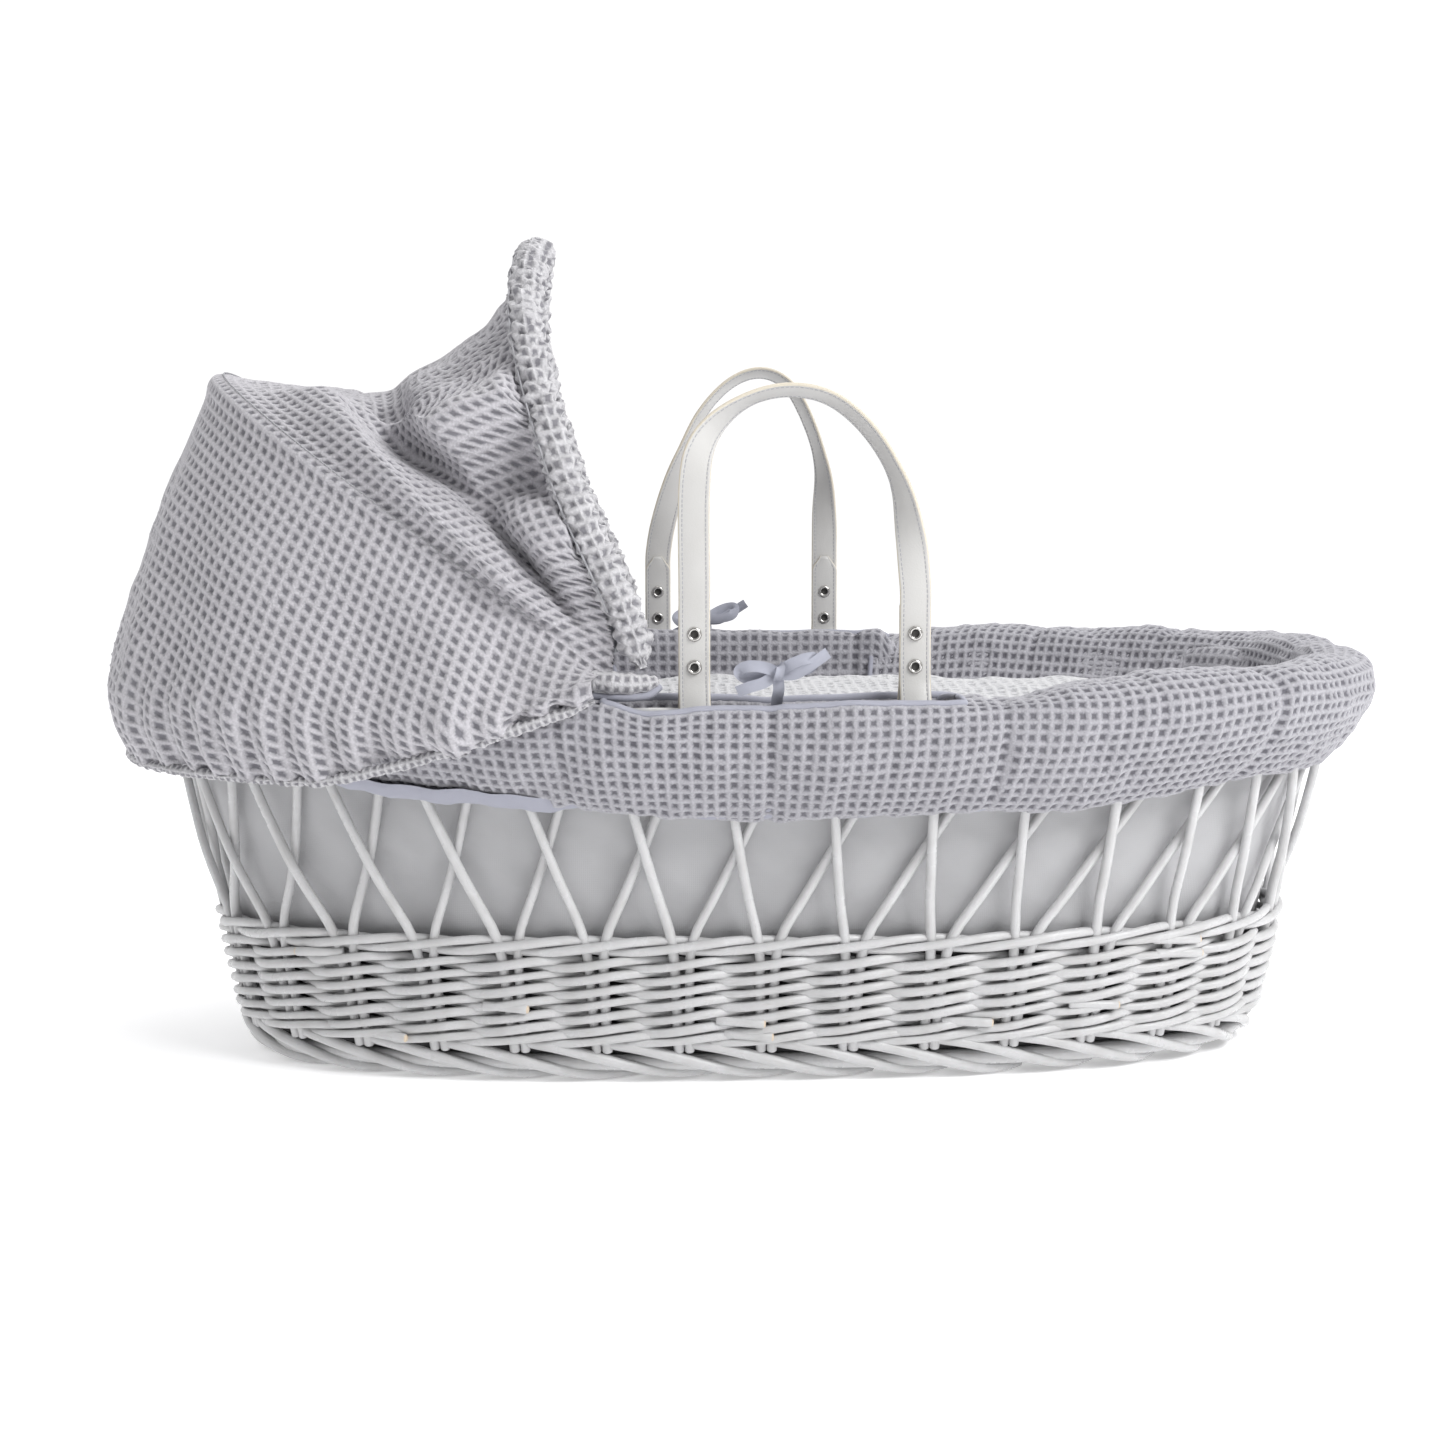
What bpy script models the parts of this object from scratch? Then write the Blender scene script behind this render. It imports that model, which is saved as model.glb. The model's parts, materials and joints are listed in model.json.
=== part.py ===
"""Moses basket: white willow basket with a padded waffle dressing, a folding hood and two strap handles.

Frame: metres, +X to the foot end, +Z up, origin at the centre of the base's underside.
"""

import math

import bmesh
import bpy
from mathutils import Matrix, Vector

# Wicker wall: its outer surface, as half length at each height. The half width is always narrower by WAIST.
WALL = [(0.0, 0.354), (0.020, 0.362), (0.095, 0.377), (0.175, 0.394), (0.250, 0.412), (0.290, 0.418)]
WAIST = 0.196
CORNER_POWER = 2.75
SHEER = 0.008
RIM_HEIGHT = 0.250
RIM_HALF_LENGTH = 0.412
ROUND_STEPS = 40
PAIR_COUNT = 34
ROD = 0.007
GAP = 0.0004

# Rim axis, which the handles turn on.
RIM_INSET = 0.0035
RIM_RADIUS = 0.0075

# Hood.
PIVOT_X = -0.094
PIVOT_Z = 0.270
HOOP_HALF_WIDTH = RIM_HALF_LENGTH - WAIST - RIM_INSET
HOOP_POWER = 2.2
REAR_ANGLE = 35.0
REAR_LENGTH = 0.339
FRONT_ANGLE = 78.5
FRONT_LENGTH = 0.287
HOOP_RADIUS = 0.0022
LEG_BOW = 0.016
CLOTH_HALF_WIDTH = HOOP_HALF_WIDTH + 0.005
HEM_TUBE_RADIUS = 0.0120
HEM_TUBE_BORE = 0.0045
CLOTH = 0.003

# Handles.
STRAP_WIDTH = 0.020
STRAP_THICKNESS = 0.0024
LAYER_OFFSET = 0.0014
LOOP_RADIUS = 0.0108
TAB_TOP = 0.316
RIVET_HEIGHTS = (0.282, 0.303)
RIVET_HEAD = 0.00475
RIVET_SHANK = 0.0016
SWING = math.radians(25)
NEAR_ROUTE = [(-0.0495, 0.335), (-0.0495, 0.395), (-0.045, 0.422), (-0.030, 0.441), (-0.008, 0.453),
              (0.016, 0.456), (0.040, 0.449), (0.063, 0.428), (0.079, 0.400), (0.087, 0.365), (0.090, 0.335)]
FAR_ROUTE = [(-0.058, 0.335), (-0.047, 0.365), (-0.033, 0.405), (-0.020, 0.445), (0.000, 0.470),
             (0.022, 0.476), (0.044, 0.465), (0.060, 0.435), (0.070, 0.400), (0.0720, 0.365), (0.0720, 0.335)]
NEAR_FEET = (-0.0495, 0.0905)
FAR_FEET = (-0.0610, 0.0720)
SLIT = (-0.112, 0.124)

COLOURS = {
    "willow": ((0.80, 0.80, 0.81), 0.35, 0.0),
    "cotton": ((0.76, 0.77, 0.79), 0.9, 0.0),
    "waffle": ((0.50, 0.50, 0.54), 0.95, 0.0),
    "quilt": ((0.60, 0.60, 0.63), 0.95, 0.0),
    "binding": ((0.42, 0.46, 0.56), 0.7, 0.0),
    "leather": ((0.87, 0.87, 0.85), 0.4, 0.0),
    "nickel": ((0.60, 0.59, 0.57), 0.2, 1.0),
    "steel": ((0.55, 0.56, 0.58), 0.35, 1.0),
}


def clear_scene():
    for obj in list(bpy.data.objects):
        bpy.data.objects.remove(obj, do_unlink=True)


def make_collection(name):
    group = bpy.data.collections.new(name)
    bpy.context.scene.collection.children.link(group)
    return group


def material(name):
    found = bpy.data.materials.get(name)
    if found:
        return found
    colour, roughness, metallic = COLOURS[name]
    made = bpy.data.materials.new(name)
    made.use_nodes = True
    shader = made.node_tree.nodes["Principled BSDF"]
    shader.inputs["Base Color"].default_value = (*colour, 1)
    shader.inputs["Roughness"].default_value = roughness
    shader.inputs["Metallic"].default_value = metallic
    return made


def add_mesh(name, bm, finish, group, smooth=True):
    bmesh.ops.recalc_face_normals(bm, faces=bm.faces)
    mesh = bpy.data.meshes.new(name)
    bm.to_mesh(mesh)
    bm.free()
    if smooth:
        mesh.shade_smooth()
    mesh.materials.append(material(finish))
    obj = bpy.data.objects.new(name, mesh)
    group.objects.link(obj)
    return obj


def loft(name, loops, finish, group, closed=False, caps=True):
    """Joins loops of equal length by quads. A closed loft runs round to its first loop, and has no caps."""
    bm = bmesh.new()
    rows = [[bm.verts.new(point) for point in loop] for loop in loops]
    count = len(rows[0])
    pairs = list(zip(rows, rows[1:]))
    if closed:
        pairs.append((rows[-1], rows[0]))
    for low, high in pairs:
        for i in range(count):
            j = (i + 1) % count
            bm.faces.new((low[i], low[j], high[j], high[i]))
    if caps and not closed:
        bm.faces.new(rows[0])
        bm.faces.new(rows[-1])
    return add_mesh(name, bm, finish, group)


def interpolate(table, key):
    for (x0, y0), (x1, y1) in zip(table, table[1:]):
        if key <= x1:
            return y0 + (y1 - y0) * (key - x0) / (x1 - x0)
    return table[-1][1]


def signed_power(value, power):
    return math.copysign(abs(value) ** power, value)


def oval_point(half_length, half_width, turn):
    power = 2 / CORNER_POWER
    return (half_length * signed_power(math.cos(turn), power), half_width * signed_power(math.sin(turn), power))


def even_turns(count, start=0.0):
    """Parameters that space `count` points evenly round the rim's oval, starting at the foot end."""
    fine = 4000
    half_width = RIM_HALF_LENGTH - WAIST
    points = [oval_point(RIM_HALF_LENGTH, half_width, 2 * math.pi * i / fine) for i in range(fine + 1)]
    lengths = [0.0]
    for a, b in zip(points, points[1:]):
        lengths.append(lengths[-1] + math.dist(a, b))
    turns = []
    place = 0
    for i in range(count):
        target = ((i + start) / count % 1.0) * lengths[-1]
        if target < lengths[place]:
            place = 0
        while lengths[place + 1] < target:
            place += 1
        turns.append(2 * math.pi * place / fine)
    return turns


def wall_point(turn, offset, height, sheer=True):
    """A point at this height, `offset` outside the wicker wall's surface."""
    half_length = interpolate(WALL, height) + offset
    x, y = oval_point(half_length, half_length - WAIST, turn)
    rise = SHEER * (x / RIM_HALF_LENGTH) ** 2 * min(1.0, max(0.0, (height - 0.18) / 0.07)) if sheer else 0.0
    return Vector((x, y, height + rise))


def wall_ring(name, section, finish, group):
    """A ring round the basket from a closed section of (offset, height) points."""
    loops = [[wall_point(turn, *point) for point in section] for turn in even_turns(ROUND_STEPS)]
    return loft(name, loops, finish, group, closed=True)


def wall_solid(name, section, finish, group):
    """A capped stack of ovals, from (offset, height) points in order."""
    loops = [[wall_point(turn, *point, sheer=False) for turn in even_turns(ROUND_STEPS)] for point in section]
    return loft(name, loops, finish, group)


def round_section(centre_offset, centre_height, radius, steps=6):
    return [(centre_offset + radius * math.cos(2 * math.pi * i / steps),
             centre_height + radius * math.sin(2 * math.pi * i / steps)) for i in range(steps)]


def box_cutter(name, low, high, group):
    bm = bmesh.new()
    bmesh.ops.create_cube(bm, size=1.0)
    size = Vector(high) - Vector(low)
    bmesh.ops.scale(bm, vec=size, verts=bm.verts)
    bmesh.ops.translate(bm, vec=(Vector(low) + Vector(high)) / 2, verts=bm.verts)
    cutter = add_mesh(name, bm, "steel", group, smooth=False)
    cutter.hide_render = True
    cutter.display_type = "WIRE"
    return cutter


def prism_cutter(name, outline, start, end, group):
    """A prism along X from an outline of (y, z) points."""
    cutter = loft(name, [[(x, y, z) for y, z in outline] for x in (start, end)], "steel", group)
    cutter.hide_render = True
    cutter.display_type = "WIRE"
    return cutter


def rod_cutter(name, centre, radius, depth, group):
    bm = bmesh.new()
    bmesh.ops.create_cone(bm, cap_ends=True, segments=10, radius1=radius, radius2=radius, depth=depth)
    bmesh.ops.rotate(bm, cent=(0, 0, 0), matrix=Matrix.Rotation(math.pi / 2, 3, "X"), verts=bm.verts)
    bmesh.ops.translate(bm, vec=centre, verts=bm.verts)
    cutter = add_mesh(name, bm, "steel", group, smooth=False)
    cutter.hide_render = True
    cutter.display_type = "WIRE"
    return cutter


def cut(obj, cutters):
    for cutter in cutters:
        modifier = obj.modifiers.new(cutter.name, "BOOLEAN")
        modifier.operation = "DIFFERENCE"
        modifier.object = cutter


def smooth_route(points, steps=3):
    """A Catmull-Rom curve through the points."""
    padded = [points[0], *points, points[-1]]
    route = []
    for i in range(1, len(padded) - 2):
        p0, p1, p2, p3 = (Vector(p) for p in padded[i - 1:i + 3])
        for k in range(steps):
            t = k / steps
            route.append(0.5 * (2 * p1 + (p2 - p0) * t + (2 * p0 - 5 * p1 + 4 * p2 - p3) * t * t
                                + (3 * p1 - p0 - 3 * p2 + p3) * t ** 3))
    route.append(Vector(points[-1]))
    return route


def side_name(side):
    return "near" if side < 0 else "far"


# ---- willow basket ----

def make_base(group):
    wall_solid("woven_base", [(-0.036, 0.0), (-0.030, 0.006), (-0.036, 0.012)], "willow", group)


def make_foot_border(group):
    section = [(-0.029, 0.0), (-0.006, 0.0), (0.000, 0.006), (0.001, 0.0200), (-0.0106, 0.0200), (-0.0106, 0.0122),
               (-0.029, 0.0122)]
    wall_ring("foot_border", section, "willow", group)


def make_side_weave(group):
    section = [(0.0, 0.0204), (0.001, 0.058), (0.0, 0.0880), (-0.010, 0.0880), (-0.010, 0.0204)]
    wall_ring("side_weave", section, "willow", group)


def make_top_wale(group):
    wall_ring("top_wale", round_section(-0.0035, 0.0948, 0.0074), "willow", group)


def make_stake_trellis(group, cutters):
    """Crossed stakes: each leans one pitch over between the weave and the border."""
    bm = bmesh.new()
    low, high = 0.1028, RIM_HEIGHT - RIM_RADIUS - GAP
    feet = [bm.verts.new(wall_point(t, -RIM_INSET, low)) for t in even_turns(PAIR_COUNT, 0.5)]
    crossings = [bm.verts.new(wall_point(t, -RIM_INSET, (low + high) / 2)) for t in even_turns(PAIR_COUNT, 1.0)]
    heads = [bm.verts.new(wall_point(t, -RIM_INSET, high)) for t in even_turns(PAIR_COUNT, 0.5)]
    holes = []
    for i in range(PAIR_COUNT):
        j = (i + 1) % PAIR_COUNT
        holes.append(bm.faces.new((feet[i], feet[j], crossings[i])))
        holes.append(bm.faces.new((feet[i], crossings[i], heads[i], crossings[i - 1])))
        holes.append(bm.faces.new((heads[j], heads[i], crossings[i])))
    bm.normal_update()
    bmesh.ops.inset_individual(bm, faces=holes, thickness=ROD / 2, use_even_offset=True)
    bmesh.ops.delete(bm, geom=holes, context="FACES")
    trellis = add_mesh("stake_trellis", bm, "willow", group)
    shell = trellis.modifiers.new("rod", "SOLIDIFY")
    shell.thickness = ROD
    shell.offset = 0
    cut(trellis, cutters)


def make_rim_border(group):
    wall_ring("rim_border", round_section(-RIM_INSET, RIM_HEIGHT, RIM_RADIUS), "willow", group)


def foot_notches(group):
    """Room below the border for the handles' loops."""
    cutters = []
    for side, feet in ((-1, NEAR_FEET), (1, FAR_FEET)):
        for index, x in enumerate(feet):
            y = side * HOOP_HALF_WIDTH
            low = (x - STRAP_WIDTH / 2 - 0.0015, y - 0.016, 0.234)
            high = (x + STRAP_WIDTH / 2 + 0.0015, y + 0.016, 0.2435)
            cutters.append(box_cutter(f"{side_name(side)}_notch_{index + 1}", low, high, group))
    return cutters


# ---- soft dressing ----

def slit_cutters(group):
    """Long slits over both sides of the border, wide enough for the handles to swing in."""
    cutters = []
    half = LOOP_RADIUS + STRAP_THICKNESS + 0.0016
    top = 0.300
    spread = half + (top - RIM_HEIGHT) * math.tan(SWING)
    for side in (-1, 1):
        y = side * HOOP_HALF_WIDTH
        outline = [(y - half, 0.232), (y + half, 0.232), (y + half, RIM_HEIGHT), (y + spread, top),
                   (y - spread, top), (y - half, RIM_HEIGHT)]
        cutters.append(prism_cutter(f"{side_name(side)}_slit", outline, *SLIT, group))
    return cutters


def make_lining(group):
    outside = [(-0.0120, height) for height in (0.0126, 0.020, 0.095, 0.175, 0.229)]
    inside = [(-0.0135, height) for height in (0.229, 0.175, 0.095, 0.020, 0.0144)]
    section = outside + inside
    wall_solid("lining", section, "cotton", group)


def make_inner_padding(group, cutters):
    section = [(-0.0150, 0.0150), (-0.0150, 0.0200), (-0.0150, 0.095), (-0.0150, 0.2590), (-0.0275, 0.2590),
               (-0.0285, 0.140), (-0.0265, 0.0150)]
    cut(wall_ring("inner_padding", section, "waffle", group), cutters)


def make_outer_skirt(group, cutters):
    section = [(0.0110, 0.1825), (0.0190, 0.199), (0.0265, 0.222), (0.0275, 0.245), (0.0210, 0.262),
               (0.0090, 0.273), (-0.0080, 0.277), (-0.0240, 0.272), (-0.0285, 0.2600), (0.0040, 0.2600),
               (0.0062, 0.252), (0.0045, 0.1825)]
    cut(wall_ring("outer_skirt", section, "waffle", group), cutters)


def make_skirt_binding(group):
    section = [(0.0045, 0.1775), (0.0105, 0.1775), (0.0105, 0.1820), (0.0045, 0.1820)]
    wall_ring("skirt_binding", section, "binding", group)


def make_mattress(group):
    section = [(-0.036, 0.0150), (-0.031, 0.0200), (-0.031, 0.0480), (-0.042, 0.0560), (-0.110, 0.0585)]
    wall_solid("mattress", section, "cotton", group)


def make_coverlet(group):
    """A quilt laid across the basket below the padded edge, from the foot end to the hood."""
    columns, rows = 24, 10
    start, end = -0.115, 0.366
    thickness = 0.010
    height = 0.218
    half_length = interpolate(WALL, height) - 0.0325
    bm = bmesh.new()
    grid = []
    for i in range(columns + 1):
        x = start + (end - start) * i / columns
        bound = (1 - abs(x / half_length) ** CORNER_POWER) ** (1 / CORNER_POWER)
        half_width = (half_length - WAIST) * bound
        line = []
        for j in range(rows + 1):
            v = 2 * j / rows - 1
            crown = 0.024 * (1 - v * v) * (1 - max(0.0, (x - 0.25) / 0.13) ** 2)
            line.append(bm.verts.new((x, half_width * v, height + crown)))
        grid.append(line)
    for a, b in zip(grid, grid[1:]):
        for j in range(rows):
            bm.faces.new((a[j], b[j], b[j + 1], a[j + 1]))
    coverlet = add_mesh("coverlet", bm, "quilt", group)
    shell = coverlet.modifiers.new("wadding", "SOLIDIFY")
    shell.thickness = thickness
    shell.offset = 0


def make_tie_bow(side, x, z, group):
    """A ribbon bow tied over the slit: two loops and a knot, as one flat shape."""
    outline = [(-0.028, -0.007), (-0.006, -0.003), (0.006, -0.003), (0.030, 0.004), (0.034, 0.016),
               (0.006, 0.004), (-0.006, 0.004), (-0.026, 0.006)]
    y = side * (HOOP_HALF_WIDTH + 0.0300)
    loops = [[(x + dx, y + dy, z + dz) for dx, dz in outline] for dy in (-0.0015, 0.0015)]
    loft(f"{side_name(side)}_tie_bow", loops, "binding", group)


# ---- handles ----

def strap_frames(side, feet, route):
    """(centre, width direction) along the whole strap: tab, loop round the border, leg, arch and back."""
    y = side * HOOP_HALF_WIDTH

    def end_loop(x):
        across = Vector((1, 0, 0))
        points = [(-LAYER_OFFSET, TAB_TOP), (-LAYER_OFFSET, 0.292), (-LAYER_OFFSET, 0.273)]
        for degrees in range(200, 341, 20):
            angle = math.radians(degrees)
            points.append((LOOP_RADIUS * math.cos(angle), RIM_HEIGHT + LOOP_RADIUS * math.sin(angle)))
        points.insert(3, (-LOOP_RADIUS, RIM_HEIGHT + 0.004))
        points.append((LOOP_RADIUS, RIM_HEIGHT + 0.004))
        points.extend([(LAYER_OFFSET, 0.273), (LAYER_OFFSET, 0.292), (LAYER_OFFSET, 0.318)])
        return [(Vector((x, y + side * out, z)), across) for out, z in points]

    frames = end_loop(feet[0])
    centres = smooth_route([(x, y + side * LAYER_OFFSET, z) for x, z in route])
    for i, centre in enumerate(centres):
        before, after = centres[max(i - 1, 0)], centres[min(i + 1, len(centres) - 1)]
        along = (after - before).normalized()
        flat = Vector((along.z, 0, -along.x))
        twist = math.radians(62) * math.sin(math.pi * i / (len(centres) - 1)) ** 2
        frames.append((centre, flat * math.cos(twist) + Vector((0, 1, 0)) * math.sin(twist)))
    frames.extend((centre, -across) for centre, across in reversed(end_loop(feet[1])))
    return frames


def make_handle(side, feet, route, group, cutters):
    frames = strap_frames(side, feet, route)
    loops = []
    for i, (centre, across) in enumerate(frames):
        before, after = frames[max(i - 1, 0)][0], frames[min(i + 1, len(frames) - 1)][0]
        normal = (after - before).normalized().cross(across).normalized()
        w = across * STRAP_WIDTH / 2
        t = normal * STRAP_THICKNESS / 2
        loops.append([centre - w - t, centre + w - t, centre + w + t, centre - w + t])
    handle = loft(f"{side_name(side)}_handle", loops, "leather", group)
    y = side * HOOP_HALF_WIDTH
    holes = []
    for index, x in enumerate(feet):
        for row, z in enumerate(RIVET_HEIGHTS):
            name = f"{side_name(side)}_hole_{index + 1}_{row + 1}"
            holes.append(rod_cutter(name, (x, y, z), RIVET_SHANK + GAP, 0.02, cutters))
    cut(handle, holes)


def rivet_mesh():
    """A tubular rivet with a low domed head at each end, turned about Z."""
    seat = LAYER_OFFSET + STRAP_THICKNESS / 2 + GAP
    crown = seat + 0.0016
    profile = [(0, crown), (RIVET_HEAD * 0.6, crown - 0.0003), (RIVET_HEAD, seat + 0.0006), (RIVET_HEAD, seat),
               (RIVET_SHANK, seat)]
    profile += [(r, -z) for r, z in reversed(profile)]
    bm = bmesh.new()
    points = [bm.verts.new((r, 0, z)) for r, z in profile]
    for a, b in zip(points, points[1:]):
        bm.edges.new((a, b))
    mesh = bpy.data.meshes.new("rivet")
    bm.to_mesh(mesh)
    bm.free()
    mesh.materials.append(material("nickel"))
    return mesh


def make_rivets(side, feet, mesh, group):
    count = 0
    for x in feet:
        for z in RIVET_HEIGHTS:
            count += 1
            rivet = bpy.data.objects.new(f"{side_name(side)}_rivet_{count}", mesh)
            rivet.location = (x, side * HOOP_HALF_WIDTH, z)
            rivet.rotation_euler = (math.pi / 2, 0, 0)
            turn = rivet.modifiers.new("turn", "SCREW")
            turn.steps = turn.render_steps = 10
            turn.use_merge_vertices = True
            turn.merge_threshold = 0.00005
            group.objects.link(rivet)


# ---- hood ----

def angle_share(angle):
    """0 at the rear hoop's angle to 1 at the front hoop's."""
    return (math.degrees(angle) - REAR_ANGLE) / (FRONT_ANGLE - REAR_ANGLE)


def hood_point(angle, length, turn, half_width=HOOP_HALF_WIDTH):
    """A point on an arch through the hood's pivot line, `angle` degrees up from the head end."""
    reach = length * abs(math.sin(turn)) ** (2 / HOOP_POWER)
    y = -half_width * signed_power(math.cos(turn), 2 / HOOP_POWER)
    angle = math.radians(angle)
    bow = -LEG_BOW * (angle_share(angle)) * 4 * (math.sin(turn) * math.cos(turn)) ** 2
    return Vector((PIVOT_X - reach * math.cos(angle) + bow, y, PIVOT_Z + reach * math.sin(angle)))


def arch(angle, length, first, last, steps):
    return [hood_point(angle, length, first + (last - first) * i / steps) for i in range(steps + 1)]


def tube_loops(centres, radius, sides):
    loops = []
    for i, centre in enumerate(centres):
        before, after = centres[max(i - 1, 0)], centres[min(i + 1, len(centres) - 1)]
        along = (after - before).normalized()
        out = (centre - Vector((PIVOT_X, 0, PIVOT_Z - 0.05)))
        out = (out - along * out.dot(along)).normalized()
        aside = along.cross(out)
        turns = [2 * math.pi * k / sides for k in range(sides)]
        loops.append([centre + (out * math.cos(a) + aside * math.sin(a)) * radius for a in turns])
    return loops


def make_hoop(name, angle, length, group):
    end = 0.06
    centres = arch(angle, length, end, math.pi - end, 26)
    loft(name, tube_loops(centres, HOOP_RADIUS, 6), "steel", group)


def make_front_hem(group):
    """A gathered fabric channel round the front hoop, open at both ends."""
    end = 0.13
    centres = arch(FRONT_ANGLE, FRONT_LENGTH, end, math.pi - end, 22)
    outside = tube_loops(centres, HEM_TUBE_RADIUS, 8)
    inside = tube_loops(centres, HEM_TUBE_BORE, 8)
    loft("hood_front_hem", outside + inside[::-1], "waffle", group, closed=True)


def add_sheet(name, rows, thickness, group):
    bm = bmesh.new()
    grid = [[bm.verts.new(point) for point in row] for row in rows]
    for a, b in zip(grid, grid[1:]):
        for j in range(len(a) - 1):
            bm.faces.new((a[j], b[j], b[j + 1], a[j + 1]))
    sheet = add_mesh(name, bm, "waffle", group)
    shell = sheet.modifiers.new("cloth", "SOLIDIFY")
    shell.thickness = thickness
    shell.offset = 0


def head_route(steps):
    """Parameters evenly spaced along the wall from the near side of the hood's pivot, round the head end."""
    turns = [t for t in even_turns(720) if wall_point(t, 0.033, 0.25).x < PIVOT_X - 0.010]
    turns.sort(reverse=True)
    return [turns[round(i * (len(turns) - 1) / steps)] for i in range(steps + 1)]


def hem_height(x):
    """The hood's lower edge climbs from below the padded edge up to the pivots."""
    climb = min(1.0, max(0.0, (x + 0.30) / (PIVOT_X + 0.30)))
    return 0.189 + (0.272 - 0.189) * climb ** 1.15


def make_rear_panel(group):
    steps, rises = 28, 7
    turns = head_route(steps)
    rows = []
    top = [hood_point(REAR_ANGLE - 1.2, REAR_LENGTH + 0.004, 0.10 + (math.pi - 0.20) * i / steps, CLOTH_HALF_WIDTH)
           for i in range(steps + 1)]
    low, bulge = [], []
    for turn in turns:
        height = hem_height(wall_point(turn, 0.033, 0.25).x)
        low.append(wall_point(turn, 0.0330, height))
        bulge.append(wall_point(turn, 0.0360, max(height + 0.010, 0.250)))
    rows.append(low)
    for k in range(rises + 1):
        t = k / rises
        rows.append([b.lerp(a, t) for a, b in zip(top, bulge)])
    add_sheet("hood_rear_panel", rows, CLOTH, group)


def make_middle_panel(group):
    """The slack cloth between the two hoops, hanging into a saddle along the crown."""
    steps, rises = 24, 8
    rows = []
    for k in range(rises + 1):
        t = k / rises
        row = []
        for i in range(steps + 1):
            turn = 0.22 + (math.pi - 0.44) * i / steps
            full = math.sin(turn) ** (2 / HOOP_POWER)
            length = REAR_LENGTH + (FRONT_LENGTH - REAR_LENGTH) * t
            length -= 0.072 * math.sin(math.pi * min(1.0, t)) ** 0.7 * full ** 2
            front = FRONT_ANGLE - math.degrees(math.asin(min(0.9, (HEM_TUBE_RADIUS + 0.003) / (FRONT_LENGTH * full))))
            angle = REAR_ANGLE + 1.2 + (front - REAR_ANGLE - 1.2) * t
            row.append(hood_point(angle, length + 0.004 * (1 - t), turn, CLOTH_HALF_WIDTH))
        rows.append(row)
    add_sheet("hood_middle_panel", rows, CLOTH, group)


def make_elastic_hem(group):
    """The gathered elastic edge that hugs the padded skirt under the hood."""
    centres = []
    for turn in head_route(30):
        height = hem_height(wall_point(turn, 0.033, 0.25).x)
        centres.append(wall_point(turn, 0.0330, height - 0.0052))
    loft("hood_elastic_hem", tube_loops(centres, 0.0034, 6), "waffle", group)


def make_hood_pin(side, group):
    bm = bmesh.new()
    bmesh.ops.create_cone(bm, cap_ends=True, segments=12, radius1=0.003, radius2=0.003, depth=0.012)
    bmesh.ops.rotate(bm, cent=(0, 0, 0), matrix=Matrix.Rotation(math.pi / 2, 3, "X"), verts=bm.verts)
    bmesh.ops.translate(bm, vec=(PIVOT_X, side * (HOOP_HALF_WIDTH + 0.001), PIVOT_Z), verts=bm.verts)
    add_mesh(f"{side_name(side)}_hood_pin", bm, "steel", group)


def main():
    clear_scene()
    basket = make_collection("moses_basket")
    cutters = make_collection("cutters")

    make_base(basket)
    make_foot_border(basket)
    make_side_weave(basket)
    make_top_wale(basket)
    make_stake_trellis(basket, foot_notches(cutters))
    make_rim_border(basket)

    slits = slit_cutters(cutters)
    make_lining(basket)
    make_inner_padding(basket, slits)
    make_outer_skirt(basket, slits)
    make_skirt_binding(basket)
    make_mattress(basket)
    make_coverlet(basket)
    make_tie_bow(-1, 0.002, 0.282, basket)
    make_tie_bow(1, -0.028, 0.282, basket)

    rivet = rivet_mesh()
    for side, feet, route in ((-1, NEAR_FEET, NEAR_ROUTE), (1, FAR_FEET, FAR_ROUTE)):
        make_handle(side, feet, route, basket, cutters)
        make_rivets(side, feet, rivet, basket)
        make_hood_pin(side, basket)

    make_hoop("rear_hoop", REAR_ANGLE, REAR_LENGTH - 0.006, basket)
    make_hoop("front_hoop", FRONT_ANGLE, FRONT_LENGTH, basket)
    make_front_hem(basket)
    make_rear_panel(basket)
    make_middle_panel(basket)
    make_elastic_hem(basket)


main()
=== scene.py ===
import json
import math
import bpy
import numpy as np
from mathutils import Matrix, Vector


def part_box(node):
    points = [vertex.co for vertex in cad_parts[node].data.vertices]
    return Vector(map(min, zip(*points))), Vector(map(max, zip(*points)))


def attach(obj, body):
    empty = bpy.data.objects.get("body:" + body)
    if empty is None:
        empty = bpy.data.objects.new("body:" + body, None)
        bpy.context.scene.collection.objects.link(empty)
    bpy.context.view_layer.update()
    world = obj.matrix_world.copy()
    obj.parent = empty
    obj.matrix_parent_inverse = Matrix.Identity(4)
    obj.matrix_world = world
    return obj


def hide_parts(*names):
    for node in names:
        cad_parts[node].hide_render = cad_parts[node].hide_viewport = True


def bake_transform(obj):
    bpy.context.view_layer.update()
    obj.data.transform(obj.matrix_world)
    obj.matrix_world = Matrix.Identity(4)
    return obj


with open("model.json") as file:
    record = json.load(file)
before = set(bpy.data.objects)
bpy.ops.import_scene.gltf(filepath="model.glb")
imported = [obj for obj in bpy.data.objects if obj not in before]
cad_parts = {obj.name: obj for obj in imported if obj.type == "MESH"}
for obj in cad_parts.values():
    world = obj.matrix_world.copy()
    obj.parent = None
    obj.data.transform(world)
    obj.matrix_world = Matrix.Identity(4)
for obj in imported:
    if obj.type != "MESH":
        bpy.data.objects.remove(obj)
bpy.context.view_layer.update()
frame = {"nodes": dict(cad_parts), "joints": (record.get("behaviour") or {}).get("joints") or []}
print("frame loaded")

# where the camera stands and looks
view = {"distance": 1.80, "height": 0.43, "turn": -3.0, "tilt": 6.59, "aside": 0.0205, "lens": 62.78}


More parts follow.
